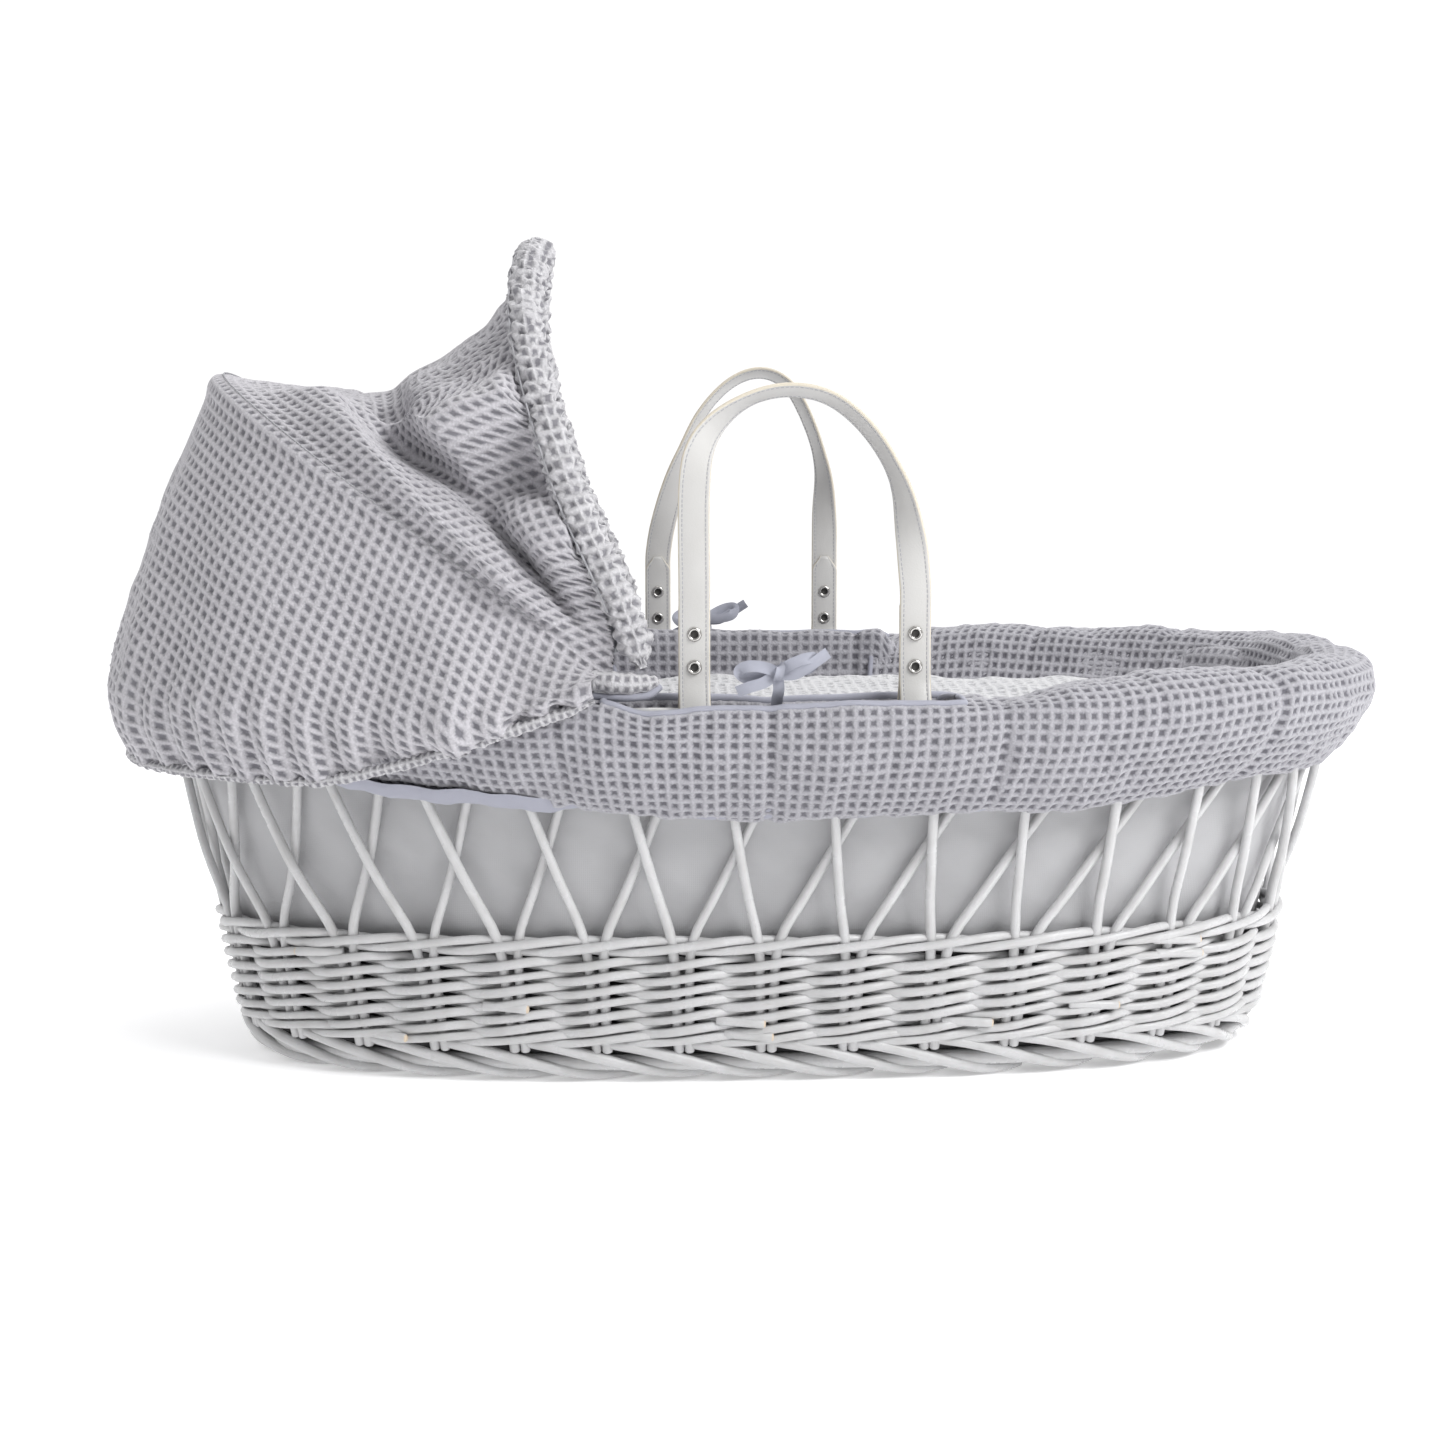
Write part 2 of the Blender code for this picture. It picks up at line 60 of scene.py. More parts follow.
def makeCamera():
    turn = math.radians(view["turn"])
    back = Vector((math.sin(turn), -math.cos(turn), 0))
    right = Vector((math.cos(turn), math.sin(turn), 0))
    data = bpy.data.cameras.new("camera")
    data.lens = view["lens"]
    camera = bpy.data.objects.new("camera", data)
    camera.location = back * view["distance"] - right * view["aside"] + Vector((0, 0, view["height"]))
    camera.rotation_euler = (math.radians(90 - view["tilt"]), 0, turn)
    bpy.context.scene.collection.objects.link(camera)
    bpy.context.scene.camera = camera


makeCamera()

# sizes taken from the frame
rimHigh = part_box("rim_border")[1]
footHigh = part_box("foot_border")[1]
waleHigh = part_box("top_wale")[1]
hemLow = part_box("skirt_binding")[0]
joints = {j["name"]: j for j in frame["joints"]}

wall = {
    "power": 2.75,            # how square the oval's corners are
    "sheer": 0.008,           # how far the border rises at both ends
    "rimHeight": 0.250,
    "rimLength": rimHigh[0] - 0.004,
    "inset": 0.0035,          # from the wall's outer face to the stakes' middle
    "pairs": 34,
}
wall["waist"] = rimHigh[0] - rimHigh[1]
wallHeights = [0.0, footHigh[2], 0.095, 0.175, wall["rimHeight"], 0.290]
wallLengths = [footHigh[0] - 0.009, footHigh[0] - 0.001, waleHigh[0] - 0.0039, 0.394,
               wall["rimLength"], 0.418]


def halfLength(height):
    return np.interp(height, wallHeights, wallLengths)


def ovalOf(length, turn):
    power = 2 / wall["power"]
    c, s = np.cos(turn), np.sin(turn)
    x = length * np.sign(c) * np.abs(c) ** power
    y = (length - wall["waist"]) * np.sign(s) * np.abs(s) ** power
    return x, y


fineTurns = np.linspace(0, 2 * math.pi, 6001)
fineX, fineY = ovalOf(wall["rimLength"], fineTurns)
fineSteps = np.hypot(np.diff(fineX), np.diff(fineY))
rimGirth = fineSteps.sum()
fineShare = np.concatenate([[0], np.cumsum(fineSteps)]) / rimGirth


# share runs 0 to 1 round the wall from the foot end, by the far side
def wallPoint(share, offset, height):
    share, offset, height = np.broadcast_arrays(np.asarray(share, float), offset, height)
    turn = np.interp(share % 1.0, fineShare, fineTurns)
    x, y = ovalOf(halfLength(height) + offset, turn)
    rise = wall["sheer"] * (x / wall["rimLength"]) ** 2 * np.clip((height - 0.18) / 0.07, 0, 1)
    return np.stack([x, y, height + rise], -1)


# the place round the border, on the far or the near side, with this x
def shareAt(x, far):
    half = fineX[:3001], fineShare[:3001]
    share = float(np.interp(-x, -half[0], half[1]))
    return share if far else 1 - share


# shaping
def ramp(value, low, high):
    t = np.clip((value - low) / (high - low), 0, 1)
    return t * t * (3 - 2 * t)


def bump(value, middle, width):
    return np.exp(-(((value - middle) / width) ** 2))


# soft unevenness between about -1 and 1
def ripple(points, seed, longest, shortest, count=9):
    draw = np.random.default_rng(seed)
    total = np.zeros(points.shape[:-1])
    for length in np.geomspace(longest, shortest, count):
        way = draw.normal(size=3)
        way /= np.linalg.norm(way)
        phase = draw.uniform(0, math.tau)
        total += (length / longest) ** 0.5 * np.sin(points @ way * math.tau / length + phase)
    return total / math.sqrt(count)


def gridNormals(points, closed=False):
    if closed:
        along = np.roll(points, -1, 0) - np.roll(points, 1, 0)
    else:
        along = np.gradient(points, axis=0)
    normals = np.cross(along, np.gradient(points, axis=1))
    return normals / np.maximum(np.linalg.norm(normals, axis=-1, keepdims=True), 1e-12)


def buildMesh(name, points, quads, finish, corners=None):
    mesh = bpy.data.meshes.new(name)
    used, quads = np.unique(quads, return_inverse=True)
    quads = quads.reshape(-1, 4)
    points = points.reshape(-1, 3)[used]
    mesh.vertices.add(len(points))
    mesh.vertices.foreach_set("co", points.astype(np.float32).ravel())
    mesh.loops.add(quads.size)
    mesh.loops.foreach_set("vertex_index", quads.astype(np.int32).ravel())
    mesh.polygons.add(len(quads))
    mesh.polygons.foreach_set("loop_start", np.arange(0, quads.size, 4, dtype=np.int32))
    mesh.polygons.foreach_set("loop_total", np.full(len(quads), 4, np.int32))
    if corners is not None:
        layer = mesh.uv_layers.new(name="along")
        layer.data.foreach_set("uv", corners.astype(np.float32).ravel())
    mesh.update(calc_edges=True)
    mesh.validate()
    mesh.shade_smooth()
    mesh.materials.append(finish)
    obj = bpy.data.objects.new(name, mesh)
    bpy.context.scene.collection.objects.link(obj)
    return obj


def gridQuads(columns, rows, closed=False):
    a, b = np.meshgrid(np.arange(columns if closed else columns - 1), np.arange(rows - 1), indexing="ij")
    c = (a + 1) % columns
    return np.stack([a * rows + b, c * rows + b, c * rows + b + 1, a * rows + b + 1], -1).reshape(-1, 4)


# a sheet from points[column, row]; keep marks the wanted points, steps the mesh steps to a waffle cell
def gridMesh(name, points, finish, closed=False, keep=None, flip=False, steps=(1.0, 1.0)):
    columns, rows = points.shape[:2]
    quads = gridQuads(columns, rows, closed)
    a, b = np.meshgrid(np.arange(columns if closed else columns - 1), np.arange(rows - 1), indexing="ij")
    a, b = a.ravel(), b.ravel()
    across = np.stack([a, a + 1, a + 1, a], -1) / steps[0]
    down = np.stack([b, b, b + 1, b + 1], -1) / steps[1]
    corners = np.stack([across, down], -1)
    if keep is not None:
        wanted = keep.ravel()[quads].all(1)
        quads, corners = quads[wanted], corners[wanted]
    if flip:
        quads, corners = quads[:, ::-1], corners[:, ::-1]
    return buildMesh(name, points, quads, finish, corners)


# each line [column, point] walked at even steps; beyond its end a line stays at its last point
def resample(lines, spacing):
    steps = np.linalg.norm(np.diff(lines, axis=1), axis=-1)
    walked = np.concatenate([np.zeros((len(lines), 1)), np.cumsum(steps, 1)], 1)
    count = int(walked[:, -1].max() / spacing) + 2
    marks = np.arange(count) * spacing
    out = np.empty((len(lines), count, 3))
    for i, line in enumerate(lines):
        for axis in range(3):
            out[i, :, axis] = np.interp(marks, walked[i], line[:, axis])
    keep = marks[None] < walked[:, -1:] + spacing
    return out, keep, marks, walked[:, -1]


# rounds off the corners of every line, with its ends kept
def smoothLines(lines, rounds):
    for _ in range(rounds):
        lines = lines.copy()
        lines[:, 1:-1] = (lines[:, :-2] + 2 * lines[:, 1:-1] + lines[:, 2:]) / 4
    return lines


# lines [column, count] through the knots [column, knot], evenly divided between knots
def throughPoints(points, count):
    knots = points.shape[1]
    place = np.linspace(0, knots - 1, count)
    low = np.minimum(place.astype(int), knots - 2)
    part = (place - low)[None, :, None]
    return points[:, low] * (1 - part) + points[:, low + 1] * part


# waffle cloth
waffle = {
    "cell": 0.0079,        # from one ridge to the next
    "depth": 0.0022,       # how deep its hollows are
    "perCell": 4,          # mesh steps across one cell
}


# 0 on a ridge to 1 at the middle of a hollow, from places counted in cells
def cellHollow(a, b):
    ridge = np.maximum(np.abs(np.cos(np.pi * a)), np.abs(np.cos(np.pi * b)))
    return 1 - ridge ** 2


# presses hollows into a sheet, along its own rows and columns; sign is -1 where its normals point inwards
def waffleOn(points, columnSteps, rowSteps, depth=None, closed=False, sign=1.0):
    a = np.arange(points.shape[0])[:, None] / columnSteps
    b = np.arange(points.shape[1])[None] / rowSteps
    hollow = cellHollow(a, b)
    fuzz = 1 + 0.22 * ripple(points, 77, 0.05, 0.004, 12)
    normals = gridNormals(points, closed)
    depth = waffle["depth"] if depth is None else depth
    return points - normals * (sign * depth * hollow * fuzz)[..., None]


# rods and tapes
# round rods along many lines; each line's frame starts from the direction away from the basket's middle
def sweep(name, paths, radii, finish, sides=8, closed=False, capped=True):
    allPoints, allQuads, allCorners = [], [], []
    base = 0
    angles = np.arange(sides) * math.tau / sides
    for path, radius in zip(paths, radii):
        path = np.asarray(path, float)
        count = len(path)
        radius = np.broadcast_to(np.asarray(radius, float), (count,)).copy()
        if closed:
            along = np.roll(path, -1, 0) - np.roll(path, 1, 0)
        else:
            along = np.gradient(path, axis=0)
        along /= np.linalg.norm(along, axis=1, keepdims=True)
        out = path * np.array([0.55, 1, 0]) + np.array([0, 0, 1e-3])
        out -= along * (out * along).sum(1, keepdims=True)
        out /= np.maximum(np.linalg.norm(out, axis=1, keepdims=True), 1e-9)
        aside = np.cross(along, out)
        ring = out[:, None] * np.cos(angles)[None, :, None] + aside[:, None] * np.sin(angles)[None, :, None]
        points = path[:, None] + ring * radius[:, None, None]
        if not closed and capped:
            first = path[0] - along[0] * radius[0] * 0.25
            last = path[-1] + along[-1] * radius[-1] * 0.25
            start = first + (points[0] - path[0]) * 0.75
            end = last + (points[-1] - path[-1]) * 0.75
            points = np.concatenate([np.repeat(first[None, None], sides, 1), start[None], points, end[None],
                                     np.repeat(last[None, None], sides, 1)])
        rows = len(points)
        i = np.arange(rows if closed else rows - 1)
        a, b = np.meshgrid(i, np.arange(sides), indexing="ij")
        c, d = (a + 1) % rows, (b + 1) % sides
        quads = np.stack([a * sides + b, a * sides + d, c * sides + d, c * sides + b], -1).reshape(-1, 4)
        length = np.concatenate([[0], np.cumsum(np.linalg.norm(np.diff(points.mean(1), axis=0), axis=1))])
        length = np.append(length, length[-1] + 0.003)
        u = np.stack([length[a], length[a], length[a + 1], length[a + 1]], -1).reshape(-1, 4)
        v = np.stack([b, b + 1, b + 1, b], -1).reshape(-1, 4) / sides
        allPoints.append(points.reshape(-1, 3))
        allQuads.append(quads + base)
        allCorners.append(np.stack([u + base * 0.01, v], -1))
        base += points.shape[0] * sides
    points, quads, corners = (np.concatenate(parts) for parts in (allPoints, allQuads, allCorners))
    return buildMesh(name, points, quads, finish, corners)


# a smooth line through the points
def splineThrough(points, steps):
    points = np.asarray(points, float)
    padded = np.concatenate([points[:1], points, points[-1:]])
    out = []
    for i in range(1, len(padded) - 2):
        p0, p1, p2, p3 = padded[i - 1:i + 3]
        for k in range(steps):
            t = k / steps
            out.append(0.5 * (2 * p1 + (p2 - p0) * t + (2 * p0 - 5 * p1 + 4 * p2 - p3) * t * t
                              + (3 * p1 - p0 - 3 * p2 + p3) * t ** 3))
    return np.array(out + [points[-1]])


# finishes
# a colour as the eye sees it, 0 to 255, for a shader
def tone(r, g, b):
    return tuple(((c / 255 + 0.055) / 1.055) ** 2.4 for c in (r, g, b)) + (1.0,)


def newFinish(name, colour, roughness, metallic=0.0):
    made = bpy.data.materials.new(name)
    made.use_nodes = True
    nodes = made.node_tree.nodes
    shader = nodes["Principled BSDF"]
    shader.inputs["Base Color"].default_value = colour
    shader.inputs["Roughness"].default_value = roughness
    shader.inputs["Metallic"].default_value = metallic
    return made, nodes, made.node_tree.links, shader


def addNoise(nodes, links, vector, scale, detail=3.0):
    noise = nodes.new("ShaderNodeTexNoise")
    noise.inputs["Scale"].default_value = scale
    noise.inputs["Detail"].default_value = detail
    links.new(vector, noise.inputs["Vector"])
    return noise.outputs["Fac"]


def addBump(nodes, links, shader, height, strength, distance):
    lift = nodes.new("ShaderNodeBump")
    lift.inputs["Strength"].default_value = strength
    lift.inputs["Distance"].default_value = distance
    links.new(height, lift.inputs["Height"])
    links.new(lift.outputs["Normal"], shader.inputs["Normal"])


def addMix(nodes, links, share, first, second):
    mix = nodes.new("ShaderNodeMix")
    mix.data_type = "RGBA"
    links.new(share, mix.inputs["Factor"])
    for socket, value in ((mix.inputs[6], first), (mix.inputs[7], second)):
        if isinstance(value, tuple):
            socket.default_value = value
        else:
            links.new(value, socket)
    return mix.outputs[2]


def addRange(nodes, links, value, low, high, toLow, toHigh):
    turned = nodes.new("ShaderNodeMapRange")
    links.new(value, turned.inputs["Value"])
    for key, number in (("From Min", low), ("From Max", high), ("To Min", toLow), ("To Max", toHigh)):
        turned.inputs[key].default_value = number
    return turned.outputs["Result"]


def addMath(nodes, links, kind, *values):
    step = nodes.new("ShaderNodeMath")
    step.operation = kind
    for socket, value in zip(step.inputs, values):
        if isinstance(value, (int, float)):
            socket.default_value = value
        else:
            links.new(value, socket)
    return step.outputs[0]


# how the waffle cotton looks close to
nap = {
    "wander": 0.22,        # how unevenly the ridges run, in cells
    "fibre": 620.0,        # how fine the fibres are
    # the next two numbers bound the painted shade in the waffle's hollows
    "ridgeShadeEdge": 1.17,     # where a ridge starts to darken
    "hollowShadeEdge": 0.62,    # where its hollow is darkest
    "patch": 0.20,         # how uneven the dye is
    "lint": 0.45,
    "sheen": 0.20,
    "relief": 0.60,
}


# brushed cotton: pale ridges round square hollows that carry painted shade, a fuzz of fibres and uneven dye
def makeWaffleFinish(name, ridge, hollow):
    made, nodes, links, shader = newFinish(name, ridge, 0.95)
    spot = nodes.new("ShaderNodeTexCoord").outputs["Object"]
    cell = nodes.new("ShaderNodeSeparateXYZ")
    links.new(nodes.new("ShaderNodeUVMap").outputs["UV"], cell.inputs["Vector"])
    wander = addNoise(nodes, links, spot, 260.0, 2.0)
    lines = []
    for axis, shift in (("X", nap["wander"]), ("Y", -nap["wander"])):
        turned = addMath(nodes, links, "MULTIPLY_ADD", wander, shift, cell.outputs[axis])
        turned = addMath(nodes, links, "SUBTRACT", turned, shift / 2)
        turned = addMath(nodes, links, "MULTIPLY", turned, math.pi)
        lines.append(addMath(nodes, links, "ABSOLUTE", addMath(nodes, links, "COSINE", turned)))
    wall = addMath(nodes, links, "MAXIMUM", *lines)
    fibre = addNoise(nodes, links, spot, nap["fibre"], 6.0)
    rough = addMath(nodes, links, "MULTIPLY_ADD", fibre, 0.30, wall)
    # the hollows' darker colour is painted shade, masked from the cell lines; the same mask also shapes the
    # bump
    shadedPit = addRange(nodes, links, rough, nap["ridgeShadeEdge"], nap["hollowShadeEdge"], 0.0, 1.0)
    colour = addMix(nodes, links, shadedPit, ridge, hollow)
    patch = addRange(nodes, links, addNoise(nodes, links, spot, 9.0, 4.0), 0.35, 0.7, 0.0, nap["patch"])
    dull = tuple(c * 0.78 for c in ridge[:3]) + (1.0,)
    colour = addMix(nodes, links, patch, colour, dull)
    lint = addRange(nodes, links, fibre, 0.48, 0.72, 0.0, nap["lint"])
    pale = tuple(min(1.0, c * 1.25) for c in ridge[:3]) + (1.0,)
    raised = addMath(nodes, links, "SUBTRACT", 1.0, shadedPit)
    colour = addMix(nodes, links, addMath(nodes, links, "MULTIPLY", lint, raised), colour, pale)
    links.new(colour, shader.inputs["Base Color"])
    shader.inputs["Sheen Weight"].default_value = nap["sheen"]
    shader.inputs["Sheen Roughness"].default_value = 0.6
    height = addMath(nodes, links, "MULTIPLY_ADD", shadedPit, -1.6, fibre)
    addBump(nodes, links, shader, height, nap["relief"], 0.0010)
    return made


# plain woven cotton with a fine crossed thread; shaded gives the height below which it fades to painted shade
def makeClothFinish(name, colour, thread=1500.0, bumpiness=0.25, shaded=None):
    made, nodes, links, shader = newFinish(name, colour, 0.85)
    spot = nodes.new("ShaderNodeTexCoord").outputs["Object"]
    waves = []
    for way in ("X", "Z"):
        wave = nodes.new("ShaderNodeTexWave")
        wave.bands_direction = way
        wave.inputs["Scale"].default_value = thread / 6
        wave.inputs["Distortion"].default_value = 0.6
        links.new(spot, wave.inputs["Vector"])
        waves.append(wave.outputs["Fac"])
    crossed = addMath(nodes, links, "MULTIPLY", *waves)
    patch = addRange(nodes, links, addNoise(nodes, links, spot, 6.0, 2.0), 0.25, 0.75, 0.0, 0.16)
    dull = tuple(c * 0.84 for c in colour[:3]) + (1.0,)
    base = addMix(nodes, links, patch, colour, dull)
    weave = addRange(nodes, links, crossed, 0.0, 1.0, 0.16, 0.0)
    base = addMix(nodes, links, weave, base, dull)
    # painted shade: below that height the colour darkens to 0.22 of itself, for the dark inside seen through
    # the weave
    if shaded:
        height = nodes.new("ShaderNodeSeparateXYZ")
        links.new(spot, height.inputs["Vector"])
        low = addRange(nodes, links, height.outputs["Z"], shaded, shaded + 0.012, 1.0, 0.0)
        base = addMix(nodes, links, low, base, tuple(c * 0.22 for c in colour[:3]) + (1.0,))
    links.new(base, shader.inputs["Base Color"])
    shader.inputs["Sheen Weight"].default_value = 0.12
    addBump(nodes, links, shader, crossed, bumpiness, 0.0004)
    return made


# gloss paint brushed over peeled willow: faint lengthwise streaks, yellowed and greyed in places
def makeWillowFinish():
    made, nodes, links, shader = newFinish("willow paint", tone(218, 218, 219), 0.3)
    along = nodes.new("ShaderNodeUVMap")
    stretch = nodes.new("ShaderNodeMapping")
    stretch.inputs["Scale"].default_value = (28.0, 9.0, 1.0)
    links.new(along.outputs["UV"], stretch.inputs["Vector"])
    streak = addNoise(nodes, links, stretch.outputs["Vector"], 3.0, 5.0)
    spot = nodes.new("ShaderNodeTexCoord").outputs["Object"]
    patch = addNoise(nodes, links, spot, 55.0, 4.0)
    grey = addRange(nodes, links, patch, 0.4, 0.72, 0.0, 0.38)
    colour = addMix(nodes, links, grey, tone(204, 204, 205), tone(172, 171, 169))
    line = addRange(nodes, links, streak, 0.58, 0.75, 0.0, 0.45)
    colour = addMix(nodes, links, line, colour, tone(176, 172, 166))
    links.new(colour, shader.inputs["Base Color"])
    links.new(addRange(nodes, links, patch, 0.3, 0.7, 0.22, 0.42), shader.inputs["Roughness"])
    addBump(nodes, links, shader, streak, 0.35, 0.0008)
    return made


def makeLeatherFinish():
    white, dull = tone(202, 201, 199), tone(184, 182, 179)
    made, nodes, links, shader = newFinish("strap leatherette", white, 0.36)
    spot = nodes.new("ShaderNodeTexCoord").outputs["Object"]
    grain = nodes.new("ShaderNodeTexVoronoi")
    grain.inputs["Scale"].default_value = 950.0
    links.new(spot, grain.inputs["Vector"])
    patch = addRange(nodes, links, addNoise(nodes, links, spot, 30.0, 3.0), 0.4, 0.7, 0.0, 0.3)
    links.new(addMix(nodes, links, patch, white, dull), shader.inputs["Base Color"])
    links.new(addRange(nodes, links, patch, 0.0, 0.3, 0.33, 0.46), shader.inputs["Roughness"])
    addBump(nodes, links, shader, grain.outputs["Distance"], 0.18, 0.0003)
    return made


def makeMetalFinish(name, colour, roughness):
    made, nodes, links, shader = newFinish(name, colour, roughness, 1.0)
    spot = nodes.new("ShaderNodeTexCoord").outputs["Object"]
    wear = addNoise(nodes, links, spot, 400.0, 4.0)
    worn = addRange(nodes, links, wear, 0.3, 0.7, roughness * 0.7, roughness * 1.6)
    links.new(worn, shader.inputs["Roughness"])
    return made


looks = {
    # each waffle finish's second colour is the painted shade in its hollows
    "waffle": makeWaffleFinish("waffle cotton", tone(196, 194, 199), tone(118, 117, 124)),
    # the dressing is the hood's waffle cotton in darker tones: painted shade for the skirt, its slit ends and
    # the inner pad
    "dressing": makeWaffleFinish("shaded dressing cotton", tone(176, 175, 181), tone(101, 100, 108)),
    "quilt": makeWaffleFinish("coverlet cotton", tone(206, 206, 208), tone(176, 176, 180)),
    "gather": makeWaffleFinish("gathered hem cotton", tone(203, 202, 205), tone(128, 127, 133)),
    # the lining's lower part carries painted shade, seen through the gaps of the weave
    "lining": makeClothFinish("lining cotton", tone(184, 184, 186), shaded=0.090),
    "mattress": makeClothFinish("mattress cotton", tone(232, 232, 234)),
    "backing": makeClothFinish("cloth backing", tone(205, 205, 209)),
    "binding": makeClothFinish("binding tape", tone(164, 165, 177), 2200.0),
    "ribbon": makeClothFinish("ribbon", tone(168, 170, 182), 2600.0, 0.12),
    "willow": makeWillowFinish(),
    "cutWood": newFinish("cut willow", tone(214, 198, 176), 0.8)[0],
    "leather": makeLeatherFinish(),
    "edge": newFinish("strap edge", tone(214, 206, 190), 0.6)[0],
    "thread": newFinish("thread", tone(176, 176, 180), 0.8)[0],
    "nickel": makeMetalFinish("nickel", tone(205, 203, 200), 0.18),
    "steel": makeMetalFinish("steel wire", tone(180, 182, 186), 0.35),
    # a near black finish: painted shade for the hole inside each tubular rivet
    "shade": newFinish("painted rivet hole shade", tone(40, 38, 36), 0.6)[0],
}
print("finishes made")


def place(obj, body, slotName, nodes=()):
    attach(obj, body)
    if nodes:
        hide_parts(*nodes)


# willow basket
weave = {
    "rows": 6,
    "firstRow": 0.0375,
    "rowPitch": 0.0091,
    "strand": 0.0031,       # radius of the woven strands
    "stake": 0.0033,        # radius of the upright stakes
    "reach": 0.0054,        # how far a strand swings out over a pair
    "lift": 0.0028,         # how far two strands part where they cross
    "wobble": 0.0006,       # how unevenly a strand runs
}
roundSteps = wall["pairs"] * 20
roundShares = np.arange(roundSteps) / roundSteps
pairShift = 0.5 / wall["pairs"]


# a line right round the wall, a little uneven
def alongRound(offset, height, wobble, seed):
    points = wallPoint(roundShares, offset, height)
    shift = ripple(points, seed, 0.30, 0.03) * wobble
    return wallPoint(roundShares, offset + shift * 0.4, height + shift)


# two strands to a row, one over each pair of stakes in turn, twisted between pairs
def makeSideWeave():
    paths = []
    radii = []
    turn = math.pi * wall["pairs"] * (roundShares - pairShift)
    for row in range(weave["rows"]):
        height = weave["firstRow"] + row * weave["rowPitch"]
        for strand in range(2):
            angle = turn + strand * math.pi + (row % 2) * math.pi
            swing = np.cos(angle)
            points = alongRound(-wall["inset"] + weave["reach"] * np.where(swing < 0, 1.35, 1.0) * swing,
                                height + weave["lift"] * np.sin(angle),
                                weave["wobble"], 200 + row * 2 + strand)
            paths.append(points)
            radii.append(weave["strand"] * (1 + 0.16 * ripple(points, 300 + row * 2 + strand, 0.2, 0.04)))
    obj = sweep("woven_side", paths, radii, looks["willow"], 7, closed=True)
    place(obj, "root", "willow", ["side_weave"])


# three strands twisted into one band
def makeWale(name, node, height, offset, reach, lift, radius, period, seed):
    turn = math.tau * wall["pairs"] * (roundShares - pairShift) / period
    paths = []
    radii = []
    for strand in range(3):
        angle = turn + strand * math.tau / 3
        points = alongRound(offset + reach * np.cos(angle), height + lift * np.sin(angle),
                            weave["wobble"], seed + strand)
        paths.append(points)
        radii.append(radius * (1 + 0.10 * ripple(points, seed + 5 + strand, 0.2, 0.04)))
    obj = sweep(name, paths, radii, looks["willow"], 8, closed=True)
    place(obj, "root", "willow", [node])


# how far the open part of the wall leans towards the foot end, in metres at the border
def stakeSkew(share):
    x = wallPoint(share, 0.0, wall["rimHeight"])[..., 0]
    far = (share % 1.0) < 0.5
    return np.where(far, -1.0, 1.0) * 0.048 * ramp(x, -0.28, 0.20) * (1 - ramp(x, 0.33, 0.40))


# pairs of stakes, upright in the weave, then crossing over to the next pair's place at the border
def makeStakes():
    draw = np.random.default_rng(11)
    paths = []
    radii = []
    pitch = 1 / wall["pairs"]
    for pair in range(wall["pairs"]):
        middle = (pair + 0.5) * pitch
        for side in (-1, 1):
            low = np.linspace(0.022, 0.100, 7)
            spread = np.interp(low, [0.02, 0.1], [0.0040, 0.0058]) * side / rimGirth
            lowPoints = wallPoint(middle + spread, -wall["inset"], low)
            t = np.linspace(0, 1, 18)[1:]
            high = 0.100 + t * (wall["rimHeight"] - 0.100 - 0.002)
            lean = side * pitch * t ** (0.88 + draw.uniform(-0.05, 0.05))
            front = -side
            skew = stakeSkew(np.full(1, middle))[0] / rimGirth * t
            apart = front * 0.0036 * ramp(t, 0.05, 0.35) * (1 - ramp(t, 0.65, 0.98))
            apart += 0.0007 * np.sin(t * 5 + draw.uniform(0, 6))
            highPoints = wallPoint(middle + 0.0058 * side / rimGirth * (1 - t) + lean + skew,
                                   -wall["inset"] + apart, high)
            points = smoothLines(np.concatenate([lowPoints, highPoints])[None], 2)[0]
            paths.append(points)
            radii.append(weave["stake"] * draw.uniform(0.93, 1.07) * np.linspace(1.04, 0.95, len(points)))
    obj = sweep("willow_stakes", paths, radii, looks["willow"], 10)
    place(obj, "root", "willow", ["stake_trellis"])


# thick rods, each starting beside its pair and sweeping down under the basket's edge
def makeFootBorder():
    draw = np.random.default_rng(12)
    paths = []
    radii = []
    pitch = 1 / wall["pairs"]
    for rod in range(wall["pairs"]):
        t = np.linspace(0, 1, 26)
        start = (rod + 0.42) * pitch
        share = start + t * pitch * 2.5
        height = 0.0275 - 0.0235 * ramp(t, 0.02, 0.86) + draw.uniform(-0.001, 0.001)
        offset = np.interp(t, [0, 0.10, 0.30, 0.62, 0.86, 1.0],
                           [-0.0085, -0.0022, -0.0008, -0.0022, -0.0085, -0.018])
        path = smoothLines(wallPoint(share, offset, height)[None], 3)[0]
        path[:, 2] = np.maximum(path[:, 2], 0.0039)
        paths.append(path)
        thickness = np.interp(t, [0, 0.12, 0.7, 1], [0.0034, 0.0039, 0.0037, 0.0030])
        radii.append(thickness * draw.uniform(0.95, 1.03))
    ring = wallPoint(roundShares, -0.0085, 0.0125)
    paths.append(np.concatenate([ring, ring[:2]]))
    radii.append(0.0055)
    obj = sweep("plaited_foot", paths, radii, looks["willow"], 10)
    place(obj, "root", "willow", ["foot_border"])


# two more twisted bands where the weave starts
def makeBottomBands():
    turn = math.tau * wall["pairs"] * (roundShares - pairShift) / 3
    paths = []
    for strand in range(3):
        angle = turn + strand * math.tau / 3
        paths.append(alongRound(-wall["inset"] + 0.0052 * np.cos(angle), 0.0305 + 0.0030 * np.sin(angle),
                                weave["wobble"], 420 + strand))
    obj = sweep("foot_band", paths, [0.0030] * 3, looks["willow"], 7, closed=True)
    place(obj, "root", "willow")


